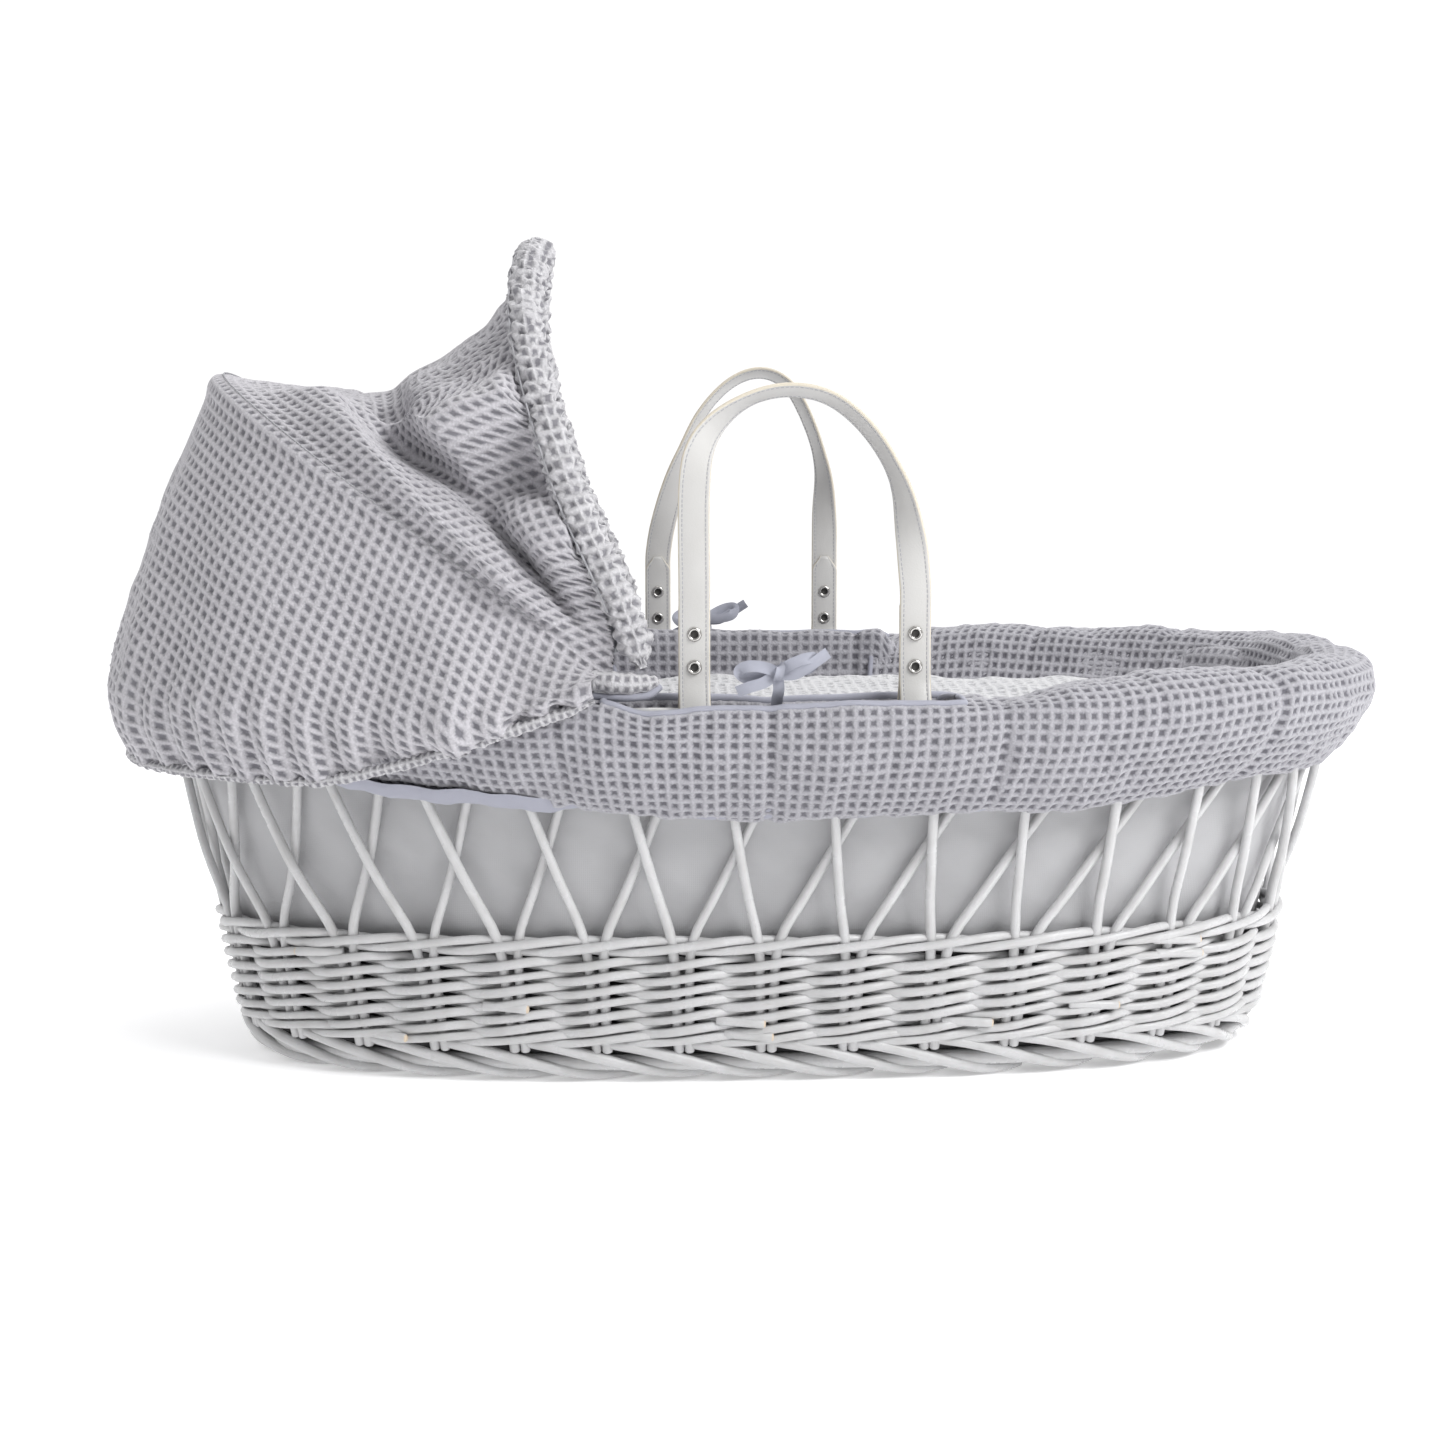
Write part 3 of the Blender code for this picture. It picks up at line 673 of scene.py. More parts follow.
# short ends of strands that stick out of the weave, with bare wood on their cut faces
def makeButtEnds():
    spots = [(-0.175, 0.0530, 1.0), (-0.003, 0.0425, 1.0), (0.003, 0.0330, 1.0), (0.0563, 0.0400, -1.0),
             (0.166, 0.0400, 1.0), (0.318, 0.0900, 1.0), (0.322, 0.0800, 1.0), (-0.330, 0.0970, -1.0),
             (-0.338, 0.0860, -1.0), (0.262, 0.0480, 1.0), (-0.268, 0.0300, 1.0), (0.115, 0.0880, -1.0)]
    paths = []
    faces = []
    for index, (x, height, way) in enumerate(spots):
        share = shareAt(x, index % 4 == 3)
        t = np.linspace(0, 1, 6)
        path = wallPoint(share - (1 - t) * 0.016 * way, -0.001 + 0.0052 * t, height + 0.0015 * (1 - t))
        paths.append(path)
        tip = path[-1] + (path[-1] - path[-2]) * 0.14
        faces.append(np.stack([path[-1], tip]))
    obj = sweep("willow_ends", paths, [0.0031] * len(paths), looks["willow"], 9)
    tips = sweep("cut_faces", faces, [0.0026] * len(faces), looks["cutWood"], 9)
    place(obj, "root", "willow")
    place(tips, "root", "willow")


# the base: fine strands over and under long sticks, seen from below
def makeBaseWeave():
    spacing = 0.0035
    length = halfLength(0.004) - 0.020
    x = np.arange(-length, length, spacing)
    width = length - wall["waist"]
    y = np.arange(-width, width, spacing)
    gridX, gridY = np.meshgrid(x, y, indexing="ij")
    inside = np.abs(gridX / length) ** wall["power"] + np.abs(gridY / width) ** wall["power"] < 1
    across = np.sin(gridX * math.pi / 0.0070)
    under = np.sin(gridY * math.pi / 0.022)
    height = 0.0050 - 0.0026 * across * under + 0.0008 * np.abs(across)
    points = np.stack([gridX, gridY, height], -1)
    obj = gridMesh("woven_floor", points, looks["willow"], keep=inside, flip=True)
    place(obj, "root", "willow", ["woven_base"])


makeSideWeave()
makeWale("twisted_band", "top_wale", 0.0955, -wall["inset"], 0.0047, 0.0040, 0.0031, 3, 400)
makeWale("willow_rim", "rim_border", wall["rimHeight"] - 0.0004, -wall["inset"], 0.0034, 0.0034, 0.0038,
         3, 410)
makeStakes()
makeFootBorder()
makeBottomBands()
makeButtEnds()
makeBaseWeave()
print("willow made")


# lining inside the willow
def makeLining():
    columns = 420
    shares = np.arange(columns) / columns
    heights = np.linspace(0.0150, 0.226, 62)
    points = wallPoint(shares[:, None], -0.0122, heights[None])
    pitch = wall["pairs"] * math.tau
    pull = np.cos(shares * pitch)[:, None] * bump(heights, 0.10, 0.03)[None]
    folds = ripple(points, 21, 0.16, 0.022, 12) * 0.0016 * ramp(heights, 0.02, 0.06)
    slack = (1.7 * folds + 0.0006 * pull - 0.0020)[..., None]
    outward = points * np.array([0.4, 1, 0])
    outward /= np.linalg.norm(outward, axis=-1, keepdims=True)
    points = points + outward * slack
    under = wallPoint(shares[:, None], np.array([-0.15, -0.10, -0.06, -0.03, -0.016])[None], 0.0118)
    points = np.concatenate([under, points], 1)
    obj = gridMesh("lining_cloth", points, looks["lining"], closed=True)
    place(obj, "root", "cotton", ["lining"])


makeLining()
print("lining made")


# padded dressing
dressing = {
    "nearSeams": [-0.130, -0.002, 0.1405, 0.3165],   # x of the stitched seams on the near side
    "farSeams": [-0.130, 0.100, 0.249, 0.347],
    "seamDepth": 0.0030,
    "seamWidth": 0.0042,
    "puff": 0.0034,                                   # how uneven the filling is
    "slit": [-0.108, 0.121],                          # the open stretch for the handles
    "hemX": [-0.28, -0.13, -0.07, 0.0, 0.13, 0.21, 0.28, 0.34, 0.40],
    "hemLift": [0.024, 0.010, 0.004, 0.001, 0.006, 0.005, 0.013, 0.021, 0.021],
}


def seamShares():
    near = [shareAt(x, False) for x in dressing["nearSeams"]]
    far = [shareAt(x, True) for x in dressing["farSeams"]]
    ends = [0.0, 0.5]
    return near + far + ends


# 1 in the middle of a seam, falling off at its sides
def seamCut(share):
    cut = np.zeros_like(share)
    for seam in seamShares():
        away = ((share - seam + 0.5) % 1.0 - 0.5) * rimGirth
        cut = np.maximum(cut, bump(away, 0.0, dressing["seamWidth"]))
    return cut


# the broad dip of the filling towards each seam
def seamPull(share):
    pull = np.zeros_like(share)
    for seam in seamShares():
        away = ((share - seam + 0.5) % 1.0 - 0.5) * rimGirth
        pull = np.maximum(pull, bump(away, 0.0, 0.026))
    return pull


def evenShares(columns):
    return np.arange(columns) / columns


# lines down the dressing from (offset, height) knots
def profileLines(shares, profile, count):
    knots = np.stack([wallPoint(shares, offset, height) for offset, height in profile], 1)
    return smoothLines(throughPoints(knots, count), 8)


def makeSkirtRoll():
    spacing = waffle["cell"] / waffle["perCell"]
    girth = rimGirth + 2 * math.pi * 0.02
    cells = round(girth / waffle["cell"])
    columns = cells * waffle["perCell"]
    shares = evenShares(columns)
    profile = [(0.0030, 0.1800), (0.0115, 0.1822), (0.0195, 0.1960), (0.0268, 0.2190), (0.0283, 0.2420),
               (0.0232, 0.2610), (0.0100, 0.2735), (-0.0080, 0.2765), (-0.0235, 0.2720), (-0.0295, 0.2600),
               (-0.0308, 0.2470), (-0.0328, 0.2370), (-0.0336, 0.2275)]
    lines = profileLines(shares, profile, 121)
    # the roll's hem hangs a little higher towards both ends
    x = lines[:, 60, 0]
    lift = np.interp(x, dressing["hemX"], dressing["hemLift"])
    down = np.clip((0.262 - lines[:, :, 2]) / (0.262 - hemLow[2]), 0, 1)
    down[:, 80:] = 0
    lines[:, :, 2] += lift[:, None] * down
    points, keep, marks, lengths = resample(lines, spacing)
    normals = gridNormals(points, True)
    along = (marks[None] / lengths[:, None]).clip(0, 1)
    share = np.broadcast_to(shares[:, None], along.shape)
    fat = np.sin(np.pi * np.clip(along, 0, 1)) ** 0.6
    swell = ripple(points, 31, 0.20, 0.030, 10) * dressing["puff"] * fat
    swell = swell + ripple(points, 32, 0.030, 0.012, 6) * 0.0009
    swell = swell - seamPull(share) * 0.0012 * fat
    swell = swell - seamCut(share) * dressing["seamDepth"] * (0.3 + 0.7 * fat)
    swell = swell - ramp(lift, 0.0, 0.02)[:, None] * 0.004 * fat
    points = points + normals * swell[..., None]
    # the slit over each long side: the outer lip stays, the inner part is cut away
    slit = (points[:, 30, 0] > dressing["slit"][0]) & (points[:, 30, 0] < dressing["slit"][1])
    lipRow = int(0.57 * (np.median(lengths) - 0.0195) / spacing)
    cutAway = slit[:, None] & (np.arange(points.shape[1])[None] > lipRow)
    lip = ramp(points[:, 30, 0], dressing["slit"][0] - 0.03, dressing["slit"][0] + 0.03)
    lip *= 1 - ramp(points[:, 30, 0], dressing["slit"][1] - 0.02, dressing["slit"][1] + 0.04)
    nearTop = bump(marks / spacing, lipRow, 9)[None] * lip[:, None]
    near = np.where(points[:, 30, 1] < 0, 1.0, 0.4)[:, None]
    dip = bump(points[:, 30, 0], -0.078, 0.034)[:, None] * near
    lower = np.where(points[:, 30, 1] < 0, 0.003, -0.003)[:, None]
    points[:, :, 2] -= nearTop * (lower + 0.007 * dip)
    points[:, :, 1] += np.sign(points[:, :, 1]) * nearTop * 0.0015
    # beyond each end of the slit the crest rises slowly from the lip's height
    x = points[:, 30, 0]
    rise = np.where(points[:, 30, 1] < 0, 0.150, 0.055)
    right = 1 - ramp(x - dressing["slit"][1], 0.0, rise)
    left = 1 - ramp(dressing["slit"][0] - x, 0.0, 0.030)
    beyond = np.minimum(right, left) * ~slit
    inner = ramp(marks / spacing, lipRow - 6, lipRow + 14)[None]
    points[:, :, 2] -= 0.0125 * beyond[:, None] * inner * ramp(points[:, :, 2], 0.250, 0.268)
    points = waffleOn(points, waffle["perCell"], waffle["perCell"], closed=True)
    obj = gridMesh("skirt_roll", points, looks["dressing"], True, keep & ~cutAway,
                   steps=(waffle["perCell"], waffle["perCell"]))
    place(obj, "root", "waffle", ["outer_skirt"])
    return points, slit, lipRow


# the bound edges of the two slits, and the closed ends of the padding beside them
def makeLips(points, slit, lipRow):
    paths = []
    walls = []
    last = points.shape[1] - 3
    for side in (-1, 1):
        index = np.flatnonzero(slit & (np.sign(points[:, 30, 1]) == side))
        start, end = points[index[0] - 1, lipRow:last], points[index[-1] + 1, lipRow:last]
        paths.append(np.concatenate([start[::-1], points[index, lipRow], end]) + np.array([0, 0, 0.0006]))
        for edge, way in ((start, 1), (end, -1)):
            inward = np.array([way * side * -0.0022, 0, -0.009])
            walls.append(np.stack([edge, edge + inward, edge + inward * 2, edge + inward * 2.6], 1))
    paths = [smoothLines(path[None], 6)[0] for path in paths]
    obj = sweep("slit_binding", paths, [0.0019] * 2, looks["binding"], 8)
    place(obj, "root", "binding")
    size = walls[0].shape[0] * walls[0].shape[1]
    quads = np.concatenate([gridQuads(*walls[0].shape[:2]) + i * size for i in range(len(walls))])
    points = np.concatenate([w.reshape(-1, 3) for w in walls])
    ends = buildMesh("slit_ends", points, quads, looks["dressing"])
    place(ends, "root", "waffle")


def makeInnerPad():
    perCell = 3
    spacing = waffle["cell"] / perCell
    cells = round((rimGirth - 2 * math.pi * 0.03) / waffle["cell"])
    shares = evenShares(cells * perCell)
    profile = [(-0.0120, 0.2500), (-0.0150, 0.2560), (-0.0205, 0.2595), (-0.0262, 0.2570), (-0.0288, 0.2460),
               (-0.0290, 0.2100), (-0.0290, 0.1400), (-0.0280, 0.0800), (-0.0265, 0.0150)]
    lines = profileLines(shares, profile, 121)
    # beside the far slit the pad's edge stands up higher and leans in, clear of the strap
    x = lines[:, 40, 0]
    beside = ramp(x, dressing["slit"][0] - 0.01, dressing["slit"][0] + 0.01)
    beside *= 1 - ramp(x, dressing["slit"][1] - 0.01, dressing["slit"][1] + 0.01)
    rise = beside * np.where(lines[:, 40, 1] > 0, 0.0150, 0.0020)
    top = ramp(lines[:, :, 2], 0.236, 0.258) * rise[:, None]
    lines[:, :, 2] += top
    lean = np.where(lines[:, 40, 1] > 0, 0.40, 3.0)[:, None]
    lines[:, :, 1] -= np.sign(lines[:, :, 1]) * top * lean
    points, keep, marks, _ = resample(lines, spacing)
    normals = gridNormals(points, True)
    share = np.broadcast_to(shares[:, None], points.shape[:2])
    fat = ramp(marks, 0.0, 0.02)[None]
    swell = ripple(points, 41, 0.18, 0.030, 10) * 0.0030 * fat - seamPull(share) * 0.0025 * fat
    swell = swell - seamCut(share) * 0.003 * fat + 0.0006 * fat
    points = points + normals * swell[..., None]
    points = waffleOn(points, perCell, perCell, 0.0016, closed=True)
    obj = gridMesh("inner_pad", points, looks["dressing"], True, keep, steps=(perCell, perCell))
    place(obj, "root", "waffle", ["inner_padding"])
    paths = []
    for side in (-1, 1):
        index = np.flatnonzero((beside > 0.5) & (np.sign(lines[:, 40, 1]) == side))
        paths.append(smoothLines(points[index, 4][None] + np.array([0, 0, 0.0010]), 6)[0])
    edge = sweep("inner_slit_binding", paths, [0.0026] * 2, looks["binding"], 8)
    place(edge, "root", "binding")
    inside = wallPoint(shares[:, None], -0.0170, np.linspace(0.016, 0.252, 12)[None])
    back = gridMesh("pad_backing", inside, looks["backing"], True)
    place(back, "root", "cotton")


# the turned tape along the skirt's lower edge
def makeHemBinding():
    columns = 640
    shares = evenShares(columns)
    x = wallPoint(shares, 0.0, 0.2)[:, 0]
    lift = np.interp(x, dressing["hemX"], dressing["hemLift"])
    shown = ramp(x, -0.29, -0.26) * (1 - ramp(x, -0.16, -0.12))
    lift = lift + 0.0042 - 0.0050 * shown + 0.0070 * ramp(x, 0.12, 0.26)
    drop = 0.0010 * np.sin(shares * math.tau * 23) + 0.0008 * np.sin(shares * math.tau * 61 + 1)
    rows = []
    for offset, height in ((0.0042, 0.1850), (0.0040, 0.1790), (0.0062, 0.1772), (0.0092, 0.1784),
                           (0.0120, 0.1836), (0.0128, 0.1880)):
        rows.append(wallPoint(shares, offset - 0.0050 * (1 - shown), height + lift + drop))
    points = smoothLines(throughPoints(np.stack(rows, 1), 16), 2)
    pleats = ripple(points, 51, 0.03, 0.006, 8) * 0.0006
    points = points + gridNormals(points, True) * pleats[..., None]
    obj = gridMesh("hem_binding", points, looks["binding"], True)
    place(obj, "root", "binding", ["skirt_binding"])


slitRows = makeSkirtRoll()
makeLips(*slitRows)
makeInnerPad()
makeHemBinding()
print("dressing made")


# bedding
def makeMattress():
    columns = 260
    shares = evenShares(columns)
    profile = [(-0.120, 0.0150), (-0.036, 0.0150), (-0.0310, 0.0200), (-0.0312, 0.0470), (-0.0350, 0.0540),
               (-0.0500, 0.0572), (-0.0900, 0.0585), (-0.150, 0.0588), (-0.2070, 0.0588)]
    lines = profileLines(shares, profile, 90)
    normals = gridNormals(lines, True)
    lines = lines + normals * (ripple(lines, 61, 0.15, 0.03) * 0.0008)[..., None]
    obj = gridMesh("mattress_pad", lines, looks["mattress"], True)
    place(obj, "root", "cotton", ["mattress"])
    edge = wallPoint(evenShares(300), -0.0315, 0.0515)
    piping = sweep("mattress_piping", [edge], [0.0018], looks["mattress"], 7, closed=True)
    place(piping, "root", "cotton")


coverlet = {"start": -0.113, "end": 0.364, "crown": 0.022, "height": 0.2270}


def makeCoverlet():
    spacing = waffle["cell"] / waffle["perCell"]
    bound = halfLength(0.218) - 0.0285
    x = np.arange(coverlet["start"], coverlet["end"], spacing)
    width = bound - wall["waist"]
    across = np.arange(-width - 0.012, width + 0.012, spacing)
    gridX, gridY = np.meshgrid(x, across, indexing="ij")
    edge = width * (1 - np.abs(gridX / bound) ** wall["power"]) ** (1 / wall["power"])
    v = gridY / (width + 0.012)
    y = v * (edge + 0.010)
    y = np.sign(y) * np.minimum(np.abs(y), edge)
    over = np.maximum(np.abs(v * (edge + 0.010)) - (edge - 0.004), 0)
    part = np.clip(v, -1, 1)
    taper = 1 - np.maximum(0, (gridX - 0.25) / 0.13) ** 2
    height = coverlet["height"] + coverlet["crown"] * (1 - part ** 2) * taper
    height -= over * 1.1 + 0.016 * ramp(gridX, coverlet["end"] - 0.02, coverlet["end"])
    height -= 0.010 * (1 - ramp(gridX, coverlet["start"], coverlet["start"] + 0.012))
    points = np.stack([gridX, y, height], -1)
    inner = ramp(edge - np.abs(y), 0.0, 0.05)
    folds = ripple(points * np.array([0.45, 1, 1]), 71, 0.10, 0.030, 9) * 0.0030
    folds = folds + ripple(points, 72, 0.04, 0.015) * 0.0010
    points[:, :, 2] += folds * (0.25 + 0.75 * inner)
    points = waffleOn(points, waffle["perCell"], waffle["perCell"], 0.0011)
    obj = gridMesh("coverlet_cloth", points, looks["quilt"], steps=(waffle["perCell"], waffle["perCell"]))
    place(obj, "root", "quilt", ["coverlet"])
    under = points[::4, ::4] - np.array([0, 0, 0.0075])
    back = gridMesh("coverlet_back", under, looks["backing"], flip=True)
    place(back, "root", "quilt")


makeMattress()
makeCoverlet()
print("bedding made")


# hood
hood = {
    "power": 2.2,
    "rearAngle": 35.0,
    "rearLength": 0.339,
    "frontAngle": 78.5,
    "frontLength": 0.287,
    "bow": 0.016,              # how far the front arch's legs bend back
    "toe": 0.013,              # how far its feet reach forward
    "tube": 0.0112,            # radius of the gathered front hem
    "crownAngles": [36.1, 39.0, 43.5, 50.0, 57.0, 64.0, 70.0, 75.0, 78.5],
    "crownReach": [0.3392, 0.304, 0.264, 0.247, 0.2430, 0.2445, 0.253, 0.268, 0.287],
    "fold": 0.14,              # where the slack roll of the middle panel lies, rear arch to front arch
    "hollow": 0.32,            # and the hollow beside it
    "foldHeight": 0.0185,
}
pivot = np.array(joints["hood_rear_fold"]["pos_m"], float)
hoopHalf = (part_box("far_hood_pin")[0][1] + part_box("far_hood_pin")[1][1]) / 2 - 0.001
clothHalf = hoopHalf + 0.005


# a point on an arch through the hood's pivots; turn runs from the near pivot, 0, to the far one, pi
def hoodPoint(angle, reach, turn, halfWidth):
    angle, reach, turn = np.broadcast_arrays(np.asarray(angle, float), reach, turn)
    s, c = np.abs(np.sin(turn)), np.cos(turn)
    length = reach * s ** (2 / hood["power"])
    y = -halfWidth * np.sign(c) * np.abs(c) ** (2 / hood["power"])
    share = (angle - hood["rearAngle"]) / (hood["frontAngle"] - hood["rearAngle"])
    back = hood["bow"] * share * 4 * (s * c) ** 2
    foot = np.minimum(turn, math.pi - turn)
    back = back - hood["toe"] * np.clip(share, 0, 1) ** 1.5 * (1 - ramp(foot, 0.02, 0.42))
    radians = np.radians(angle)
    return np.stack([pivot[0] - length * np.cos(radians) - back, y, pivot[2] + length * np.sin(radians)], -1)


def hemHeight(x):
    climb = np.clip((x + 0.30) / (pivot[0] + 0.30), 0, 1)
    return 0.209 + (0.272 - 0.209) * climb ** 1.3


# turns that space points evenly along an arch
def evenTurns(first, last, angle, reach, count):
    fine = np.linspace(first, last, 1500)
    points = hoodPoint(angle, reach, fine, clothHalf)
    walked = np.concatenate([[0], np.cumsum(np.linalg.norm(np.diff(points, axis=0), axis=1))])
    return np.interp(np.linspace(0, walked[-1], count), walked, fine), walked[-1]


def headShares(count):
    near = shareAt(pivot[0] - 0.010, False)
    return near + (1 - 2 * near) * np.linspace(0, 1, count)


def makeRearPanel():
    spacing = waffle["cell"] / waffle["perCell"]
    columns = round(0.76 / spacing)
    turns, _ = evenTurns(0.035, math.pi - 0.035, hood["rearAngle"], hood["rearLength"], columns)
    shares = headShares(columns)
    x = wallPoint(shares, 0.033, 0.25)[:, 0]
    height = hemHeight(x)
    full = np.sin(turns) ** (2 / hood["power"])
    knots = [
        hoodPoint(hood["rearAngle"] + 1.1, hood["rearLength"] + 0.0005, turns, clothHalf - 0.001),
        hoodPoint(hood["rearAngle"] + 0.5, hood["rearLength"] + 0.0052, turns, clothHalf + 0.001),
        hoodPoint(hood["rearAngle"] - 0.7, hood["rearLength"] + 0.0058, turns, clothHalf + 0.001),
        hoodPoint(hood["rearAngle"] - 2.2, hood["rearLength"] + 0.0015, turns, clothHalf),
    ]
    low = wallPoint(shares, 0.0325, height)
    belly = wallPoint(shares, 0.0372, np.maximum(height + 0.010, 0.247))
    mid = wallPoint(shares, 0.0375, height * 0.55 + np.maximum(height + 0.010, 0.247) * 0.45)
    top = knots[-1]
    for t in np.linspace(0, 1, 14)[1:-1]:
        out = 0.010 * math.sin(math.pi * t) * full[:, None] * np.array([-0.5, 0, 0.3])
        knots.append(top * (1 - t) + belly * t + out)
    knots += [belly, mid, low]
    lines = smoothLines(throughPoints(np.stack(knots, 1), 150), 10)
    points, keep, marks, lengths = resample(lines, spacing)
    normals = gridNormals(points)
    along = (marks[None] / lengths[:, None]).clip(0, 1)
    u = np.linspace(0, 1, columns)[:, None]
    slack = ramp(along, 0.10, 0.45)
    # soft folds: long ones that run down from the arch, and gathers above the elastic
    sideways = u * 0.76
    long = np.sin(sideways * math.tau / 0.094 + along * 2.4 * np.sign(0.5 - u) + 1.2 * np.sin(sideways * 19))
    gathers = np.sin(sideways * math.tau / 0.0235 + 1.7 * np.sin(sideways * 31)
                     + 0.8 * np.sin(along * 5 + sideways * 12))
    nearPivot = ramp(np.abs(u - 0.5), 0.22, 0.46)
    swell = 0.0068 * long * slack * (0.40 + 0.9 * nearPivot) * ramp(lengths[:, None], 0.03, 0.12)
    swell = swell + 0.0030 * gathers * ramp(along, 0.55, 0.98) * ramp(lengths[:, None], 0.02, 0.07)
    swell = swell + ripple(points, 81, 0.12, 0.02, 10) * 0.0016 * slack
    points = points + normals * swell[..., None]
    points = waffleOn(points, waffle["perCell"], waffle["perCell"])
    obj = gridMesh("rear_panel", points, looks["waffle"], keep=keep,
                   steps=(waffle["perCell"], waffle["perCell"]))
    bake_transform(obj)
    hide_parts("hood_rear_panel")


def makeMiddlePanel():
    spacing = waffle["cell"] / waffle["perCell"]
    first = 0.035
    columns = round(0.76 / spacing)
    turns, _ = evenTurns(first, math.pi - first, hood["rearAngle"], hood["rearLength"], columns)
    full = np.sin(turns) ** (2 / hood["power"])
    clear = np.degrees(np.arcsin(np.minimum(0.9, (hood["tube"] - 0.004) / (hood["frontLength"] * full))))
    front = np.maximum(hood["frontAngle"] - clear, hood["rearAngle"] + 14)
    rows = []
    for t in np.linspace(0, 1, 61):
        angle = hood["rearAngle"] + 1.1 + (front - hood["rearAngle"] - 1.1) * t
        straight = hood["rearLength"] + (hood["frontLength"] - hood["rearLength"]) * t
        crown = np.interp(angle, hood["crownAngles"], hood["crownReach"])
        sag = (straight - crown) * full ** 2.0
        rows.append(hoodPoint(angle, straight - sag, turns, clothHalf - 0.001))
    lines = smoothLines(np.stack(rows, 1), 6)
    # a fat roll beside the seam, a deep hollow that runs down to the pivot, and a shorter roll that crosses
    # to the front arch halfway down
    t = np.linspace(0, 1, 61)[None]
    u = np.linspace(0, 1, columns)[:, None]
    side = np.minimum(u, 1 - u) * 2
    down = ramp(side, 0.04, 0.22) * (1 - ramp(side, 0.70, 1.0))
    cross = 0.50 + 1.1 * np.maximum(0, 0.46 - t)
    shape = 0.85 * bump(t, hood["fold"], 0.080) * down
    shape = shape - 1.35 * bump(t, hood["hollow"] + 0.14 * (1 - ramp(side, 0.1, 0.7)), 0.075) * down
    shape = shape + 1.25 * bump(side, cross, 0.055) * ramp(t, 0.16, 0.40) * (1 - ramp(side, 0.8, 1.0))
    shape = shape - 1.25 * bump(side, cross - 0.12, 0.055) * ramp(t, 0.36, 0.55)
    shape = shape + 0.5 * bump(side, cross - 0.27, 0.060) * ramp(t, 0.45, 0.65)
    normals = -gridNormals(lines)
    edge = ramp(t, 0.0, 0.10) * (1 - ramp(t, 0.88, 1.0))
    lines = lines + normals * (hood["foldHeight"] * shape * edge)[..., None]
    points, keep, marks, lengths = resample(lines, spacing)
    along = (marks[None] / lengths[:, None]).clip(0, 1)
    swell = ripple(points, 91, 0.10, 0.018, 10) * 0.0022 * ramp(along, 0.0, 0.12)
    creases = np.sin(u * 0.76 * math.tau / 0.030 + 2.0 * np.sin(along * 3)) * 0.0011 * ramp(along, 0.75, 0.98)
    points = points - gridNormals(points) * (swell + creases)[..., None]
    points = waffleOn(points, waffle["perCell"], waffle["perCell"], sign=-1.0)
    obj = gridMesh("middle_panel", points, looks["waffle"], keep=keep, flip=True,
                   steps=(waffle["perCell"], waffle["perCell"]))
    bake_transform(obj)
    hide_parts("hood_middle_panel")


def tubeFrames(centres):
    along = np.gradient(centres, axis=0)
    along /= np.linalg.norm(along, axis=1, keepdims=True)
    out = centres - np.array([pivot[0], 0, pivot[2] - 0.05])
    out -= along * (out * along).sum(1, keepdims=True)
    out /= np.linalg.norm(out, axis=1, keepdims=True)
    return along, out, np.cross(along, out)


# cloth gathered round a wire: close small ridges across its length
def gatheredTube(name, centres, radius, around, crimp, depth, seed, finish):
    _, out, aside = tubeFrames(centres)
    walked = np.concatenate([[0], np.cumsum(np.linalg.norm(np.diff(centres, axis=0), axis=1))])
    angle = np.linspace(0, math.tau, around + 1)
    ring = out[:, None] * np.cos(angle)[None, :, None] + aside[:, None] * np.sin(angle)[None, :, None]
    base = centres[:, None] + ring * radius
    shift = 0.8 * np.sin(angle * 2 + 1)[None] + 1.4 * ripple(base, seed, 0.06, 0.01)
    ridges = 0.5 + 0.5 * np.sin(walked[:, None] * math.tau / crimp + shift * 2.8)
    rough = ripple(base, seed + 1, 0.018, 0.005, 8)
    cells = cellHollow(walked[:, None] / crimp, angle[None] * radius / waffle["cell"])
    end = np.minimum(walked, walked[-1] - walked)
    close = (0.30 + 0.70 * ramp(end, 0.0, 0.016))[:, None]
    size = radius * close * (1 + 0.17 * rough) + depth * (ridges - 0.6) - 0.0007 * cells
    points = centres[:, None] + ring * size[..., None]
    return gridMesh(name, points, finish, flip=True,
                    steps=(crimp * len(centres) / walked[-1], waffle["cell"] * around / math.tau / radius))


def makeFrontHem():
    fine = np.linspace(0.022, math.pi - 0.022, 1100)
    centres = hoodPoint(hood["frontAngle"], hood["frontLength"], fine, hoopHalf + 0.002)
    foot = np.minimum(fine, math.pi - fine)
    centres[:, 2] += 0.003 * (1 - ramp(foot, 0.02, 0.12))
    lines, _, _, _ = resample(centres[None], 0.00135)
    obj = gatheredTube("front_hem", lines[0][:-1], hood["tube"], 34, 0.0088, 0.0030, 101, looks["gather"])
    place(obj, "hood_front", "waffle", ["hood_front_hem"])
    # the stitched line beside the tube
    _, out, aside = tubeFrames(lines[0][:-1])
    row = lines[0][:-1] + (out * 0.55 - aside * 0.86) * hood["tube"] * 1.02
    thread = sweep("front_hem_stitches", [row[30:-30:3]], [0.0007], looks["thread"], 5)
    place(thread, "hood_front", "waffle")


def makeElasticHem():
    shares = headShares(700)
    x = wallPoint(shares, 0.033, 0.25)[:, 0]
    centres = wallPoint(shares, 0.0318, hemHeight(x) - 0.0012)
    lines, _, _, _ = resample(centres[None], 0.0014)
    obj = gatheredTube("elastic_hem", lines[0][:-1], 0.0036, 16, 0.0050, 0.0009, 111, looks["gather"])
    place(obj, "root", "waffle", ["hood_elastic_hem"])


